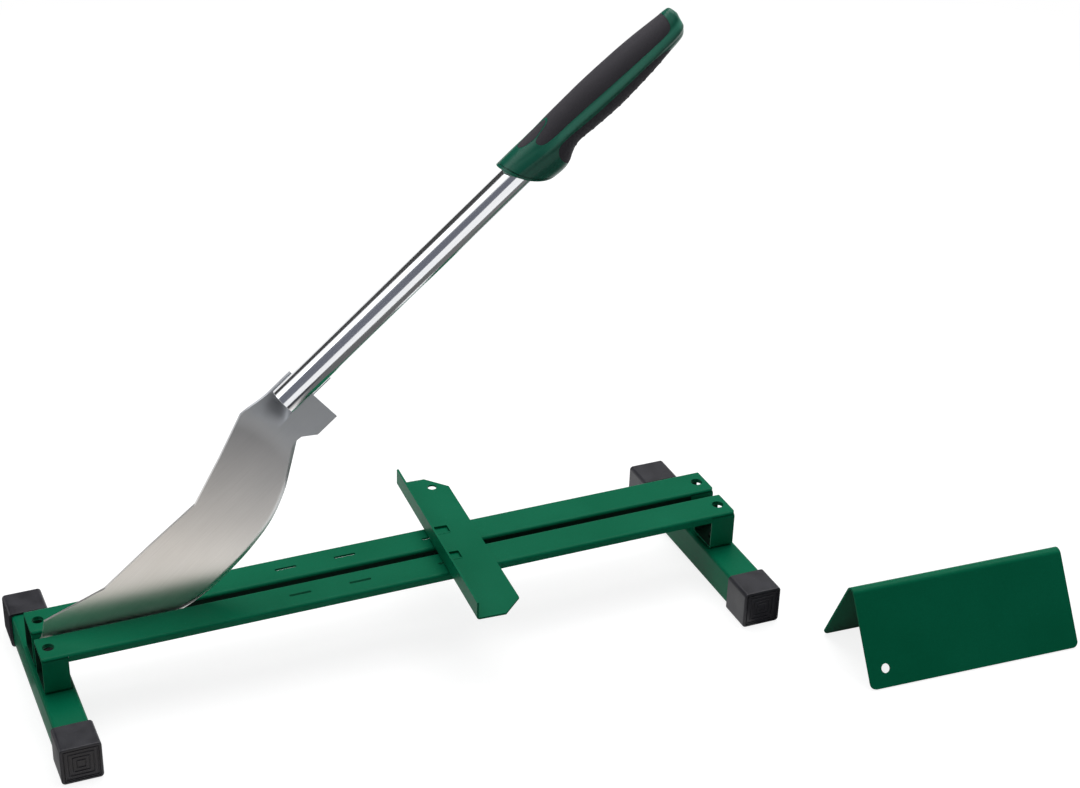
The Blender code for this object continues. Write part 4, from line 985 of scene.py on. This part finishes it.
def floor_material():
    """Pale floor: it takes the object's shadow near by and runs into the white background.

    What it scatters up on to the object is set apart from how it looks.
    """
    material = bpy.data.materials.new("pale_floor")
    f = Nodes(material)
    place = f.add("TexCoord").outputs["Object"]
    bounce = f.remap(f.add("SeparateXYZ", {0: place}).outputs["Y"],
                     *(MIDDLE.y + depth for depth in BOUNCE_FADE), *BOUNCE)
    dull = f.add("BsdfDiffuse", {"Color": bounce}).outputs[0]
    pale = f.add("BsdfDiffuse", {"Color": FLOOR_TONE}).outputs[0]
    glow = f.add("Emission", {"Color": WHITE, "Strength": FLOOR_GLOW}).outputs[0]
    white = f.add("Emission", {"Color": WHITE, "Strength": 1.0}).outputs[0]
    near = f.add("AddShader", {0: pale, 1: glow}).outputs[0]
    far = f.remap(f.add("VectorMath", {0: place}, operation="LENGTH").outputs["Value"], *FLOOR_FADE)
    shown = f.add("MixShader", {0: far, 1: near, 2: white}).outputs[0]
    final = f.add("MixShader", {0: f.seen_directly(), 1: dull, 2: shown}).outputs[0]
    f.add("OutputMaterial", {"Surface": final})
    return material


def plane(name, corners, material):
    data = bpy.data.meshes.new(name)
    data.from_pydata(corners, [], [tuple(range(len(corners)))])
    data.materials.append(material)
    item = new_object(name, data)
    return item


def towards(azimuth, elevation):
    """A direction from its azimuth, with 0 along +Y and 90 along +X, and its elevation."""
    a, e = radians(azimuth), radians(elevation)
    return Vector((sin(a) * cos(e), cos(a) * cos(e), sin(e)))


def flag(name, corners, level, tint=(1.0, 1.0, 1.0), fade=None):
    """A card outside the view that only reflections see, mostly a dark one.

    With a fade, it turns from cool and dark to warm and bright between two places on Y.
    """
    material = bpy.data.materials.new(name)
    f = Nodes(material)
    glow = {"Color": tint, "Strength": level}
    if fade:
        depth = f.add("SeparateXYZ", {0: f.add("TexCoord").outputs["Object"]}).outputs["Y"]
        cool = tuple(part * level for part in CARD_COOL)
        glow = {"Color": f.blend(f.remap(depth, *fade), cool, CARD_WARM), "Strength": 1.0}
    f.add("OutputMaterial", {"Surface": f.add("Emission", glow).outputs[0]})
    card = plane(name, corners, material)
    for kind in ("camera", "diffuse", "shadow", "transmission", "volume_scatter"):
        setattr(card, f"visible_{kind}", False)


def lying_flag(name, low, high, level, fade=None):
    """A card on the floor, from its low corner to its high one, from the stand's middle."""
    corners = [MIDDLE + Vector((x, y, CARD_LIFT)) for x, y in
               ((low[0], low[1]), (high[0], low[1]), (high[0], high[1]), (low[0], high[1]))]
    flag(name, corners, level, fade=fade and [MIDDLE.y + place for place in fade])


def standing_flag(name, azimuth, elevation, wide, tall, level, tint=(1.0, 1.0, 1.0), distance=2.2):
    """A card that faces the object from a direction, as wide and tall as it looks in degrees."""
    facing = towards(azimuth, elevation)
    centre = MIDDLE + CARDS_ROUND + facing * distance
    side = facing.cross(Vector((0, 0, 1))).normalized()
    up = side.cross(facing)
    half_wide, half_tall = distance * tan(radians(wide / 2)), distance * tan(radians(tall / 2))
    corners = [centre + side * a * half_wide + up * b * half_tall
               for a, b in ((-1, -1), (1, -1), (1, 1), (-1, 1))]
    flag(name, corners, level, tint)


def softbox(name, azimuth, elevation, distance, size, power, colour=(1.0, 1.0, 1.0)):
    """A rectangular lamp that faces the object from a direction."""
    lamp = bpy.data.lights.new(name, "AREA")
    lamp.shape = "RECTANGLE"
    lamp.size, lamp.size_y = size
    lamp.energy = power
    lamp.color = colour
    item = new_object(name, lamp)
    facing = towards(azimuth, elevation)
    item.location = MIDDLE + LAMPS_ROUND + facing * distance
    item.rotation_mode = "QUATERNION"
    item.rotation_quaternion = facing.to_track_quat("Z", "Y")
    item.visible_camera = False


def studio():
    """The floor, an even world light, two soft lamps and the cards that the metal reflects."""
    angles = (2 * pi * step / 48 for step in range(48))
    plane("floor", [(FLOOR_RADIUS * cos(a), FLOOR_RADIUS * sin(a), -FLOOR_DROP) for a in angles],
          floor_material())
    world = bpy.data.worlds.new("studio")
    bpy.context.scene.world = world
    f = Nodes(world)
    tone = f.blend(f.seen_directly(), WORLD_LIGHT, WHITE)
    f.add("OutputWorld", {"Surface": f.add("Background", {"Color": tone}).outputs[0]})
    softbox("top_softbox", 35, 68, 2.4, (3.0, 2.2), 68.0)
    softbox("left_softbox", -88, 47, 2.6, (1.3, 1.6), 9.0, (0.97, 0.985, 1.0))
    standing_flag("flag_behind_camera", -139, 29, 56, 36, 0.17, (0.92, 0.97, 1.15))
    standing_flag("flag_back_left", -32, 30, 36, 36, 0.06)
    standing_flag("flag_back", 0, 34, 28, 50, 0.05, distance=2.4)
    standing_flag("flag_back_right", 40, 34, 52, 50, 0.35, distance=2.4)
    standing_flag("flag_front_right", 142, 24, 52, 40, 0.15)
    lying_flag("flag_low_front", (-0.9, -0.7), (0.06, -0.1), 0.05, (-0.345, -0.125))
    lying_flag("flag_low_middle", (0.06, -0.7), (0.2, 0.02), 0.14)
    lying_flag("flag_low_gap", (0.2, -0.7), (0.25, -0.14), 0.14)
    lying_flag("flag_low_right", (0.25, -0.7), (1.3, 0.02), 0.17)
    lying_flag("flag_low_left", (-0.55, -0.14), (-0.268, 0.02), 0.4)
    lying_flag("flag_low_left_back", (-0.55, 0.02), (-0.268, 0.35), 0.07)


def camera():
    """The photograph's viewpoint, for a frame of 1080 by 788 pixels."""
    width, focal, centre = 1080, 2133.258, 335
    azimuth, elevation, roll = radians(18.532), radians(29.689), radians(-1.175)
    place = MIDDLE + Vector((-0.441305, -1.199399, 0.923633))
    forward = Vector((sin(azimuth) * cos(elevation), cos(azimuth) * cos(elevation), -sin(elevation)))
    right = Vector((cos(azimuth), -sin(azimuth), 0))
    down = forward.cross(right)
    across = right * cos(roll) - down * sin(roll)
    under = right * sin(roll) + down * cos(roll)
    lens = bpy.data.cameras.new("photo_camera")
    lens.sensor_fit = "HORIZONTAL"
    lens.sensor_width = 36
    lens.lens = lens.sensor_width * focal / width
    lens.shift_x = (width / 2 - centre) / width
    lens.clip_start, lens.clip_end = 0.05, 50
    item = new_object("photo_camera", lens)
    turn = Matrix((across, -under, -forward)).transposed().to_4x4()
    item.matrix_world = Matrix.Translation(place) @ turn
    bpy.context.scene.camera = item


def dress_nodes(zinc_finish, nylon_finish):
    """Gives the CAD's small fixings their finish."""
    for starts, finish in ((FIXINGS, zinc_finish), ("pivot_spacer", nylon_finish)):
        for name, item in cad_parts.items():
            if name.startswith(starts):
                item.data.materials.clear()
                item.data.materials.append(finish)


def build():
    """Every piece, in the order that the cuts need."""
    green = powder_coat()
    black = rubber()
    # The second coat is a near-black painted shade, for the insides and the faces beside the blade's gap
    coat_and_shade = [green, painted_shade_coat()]
    for end, side in ENDS:
        cross_tube(end, side, coat_and_shade)
        for row, across in SIDES:
            end_cap(end, side, row, across, black)
            riser(end, side, row, across, coat_and_shade)
    for row, across in SIDES:
        rail(row, across, coat_and_shade)
    blade(sheet_steel("brushed_blade_steel", (0.7, 0.685, 0.665), (0.78, 0.765, 0.745), 0.28, 0.33),
          sheet_steel("ground_edge_steel", (0.72, 0.715, 0.7), (0.86, 0.85, 0.83), 0.16, 0.26))
    lever_tube(plated_tube())
    grip(grip_plastic(), soft_panel("pebbled_panel", 0.00075, 0.00006),
         soft_panel("pebbled_ribs", 0.0009, 0.00008))
    stop(green)
    board_rest(green)
    settle()
    dress_nodes(zinc(), nylon())


bpy.context.scene.view_settings.view_transform = "Standard"
build()
studio()
camera()
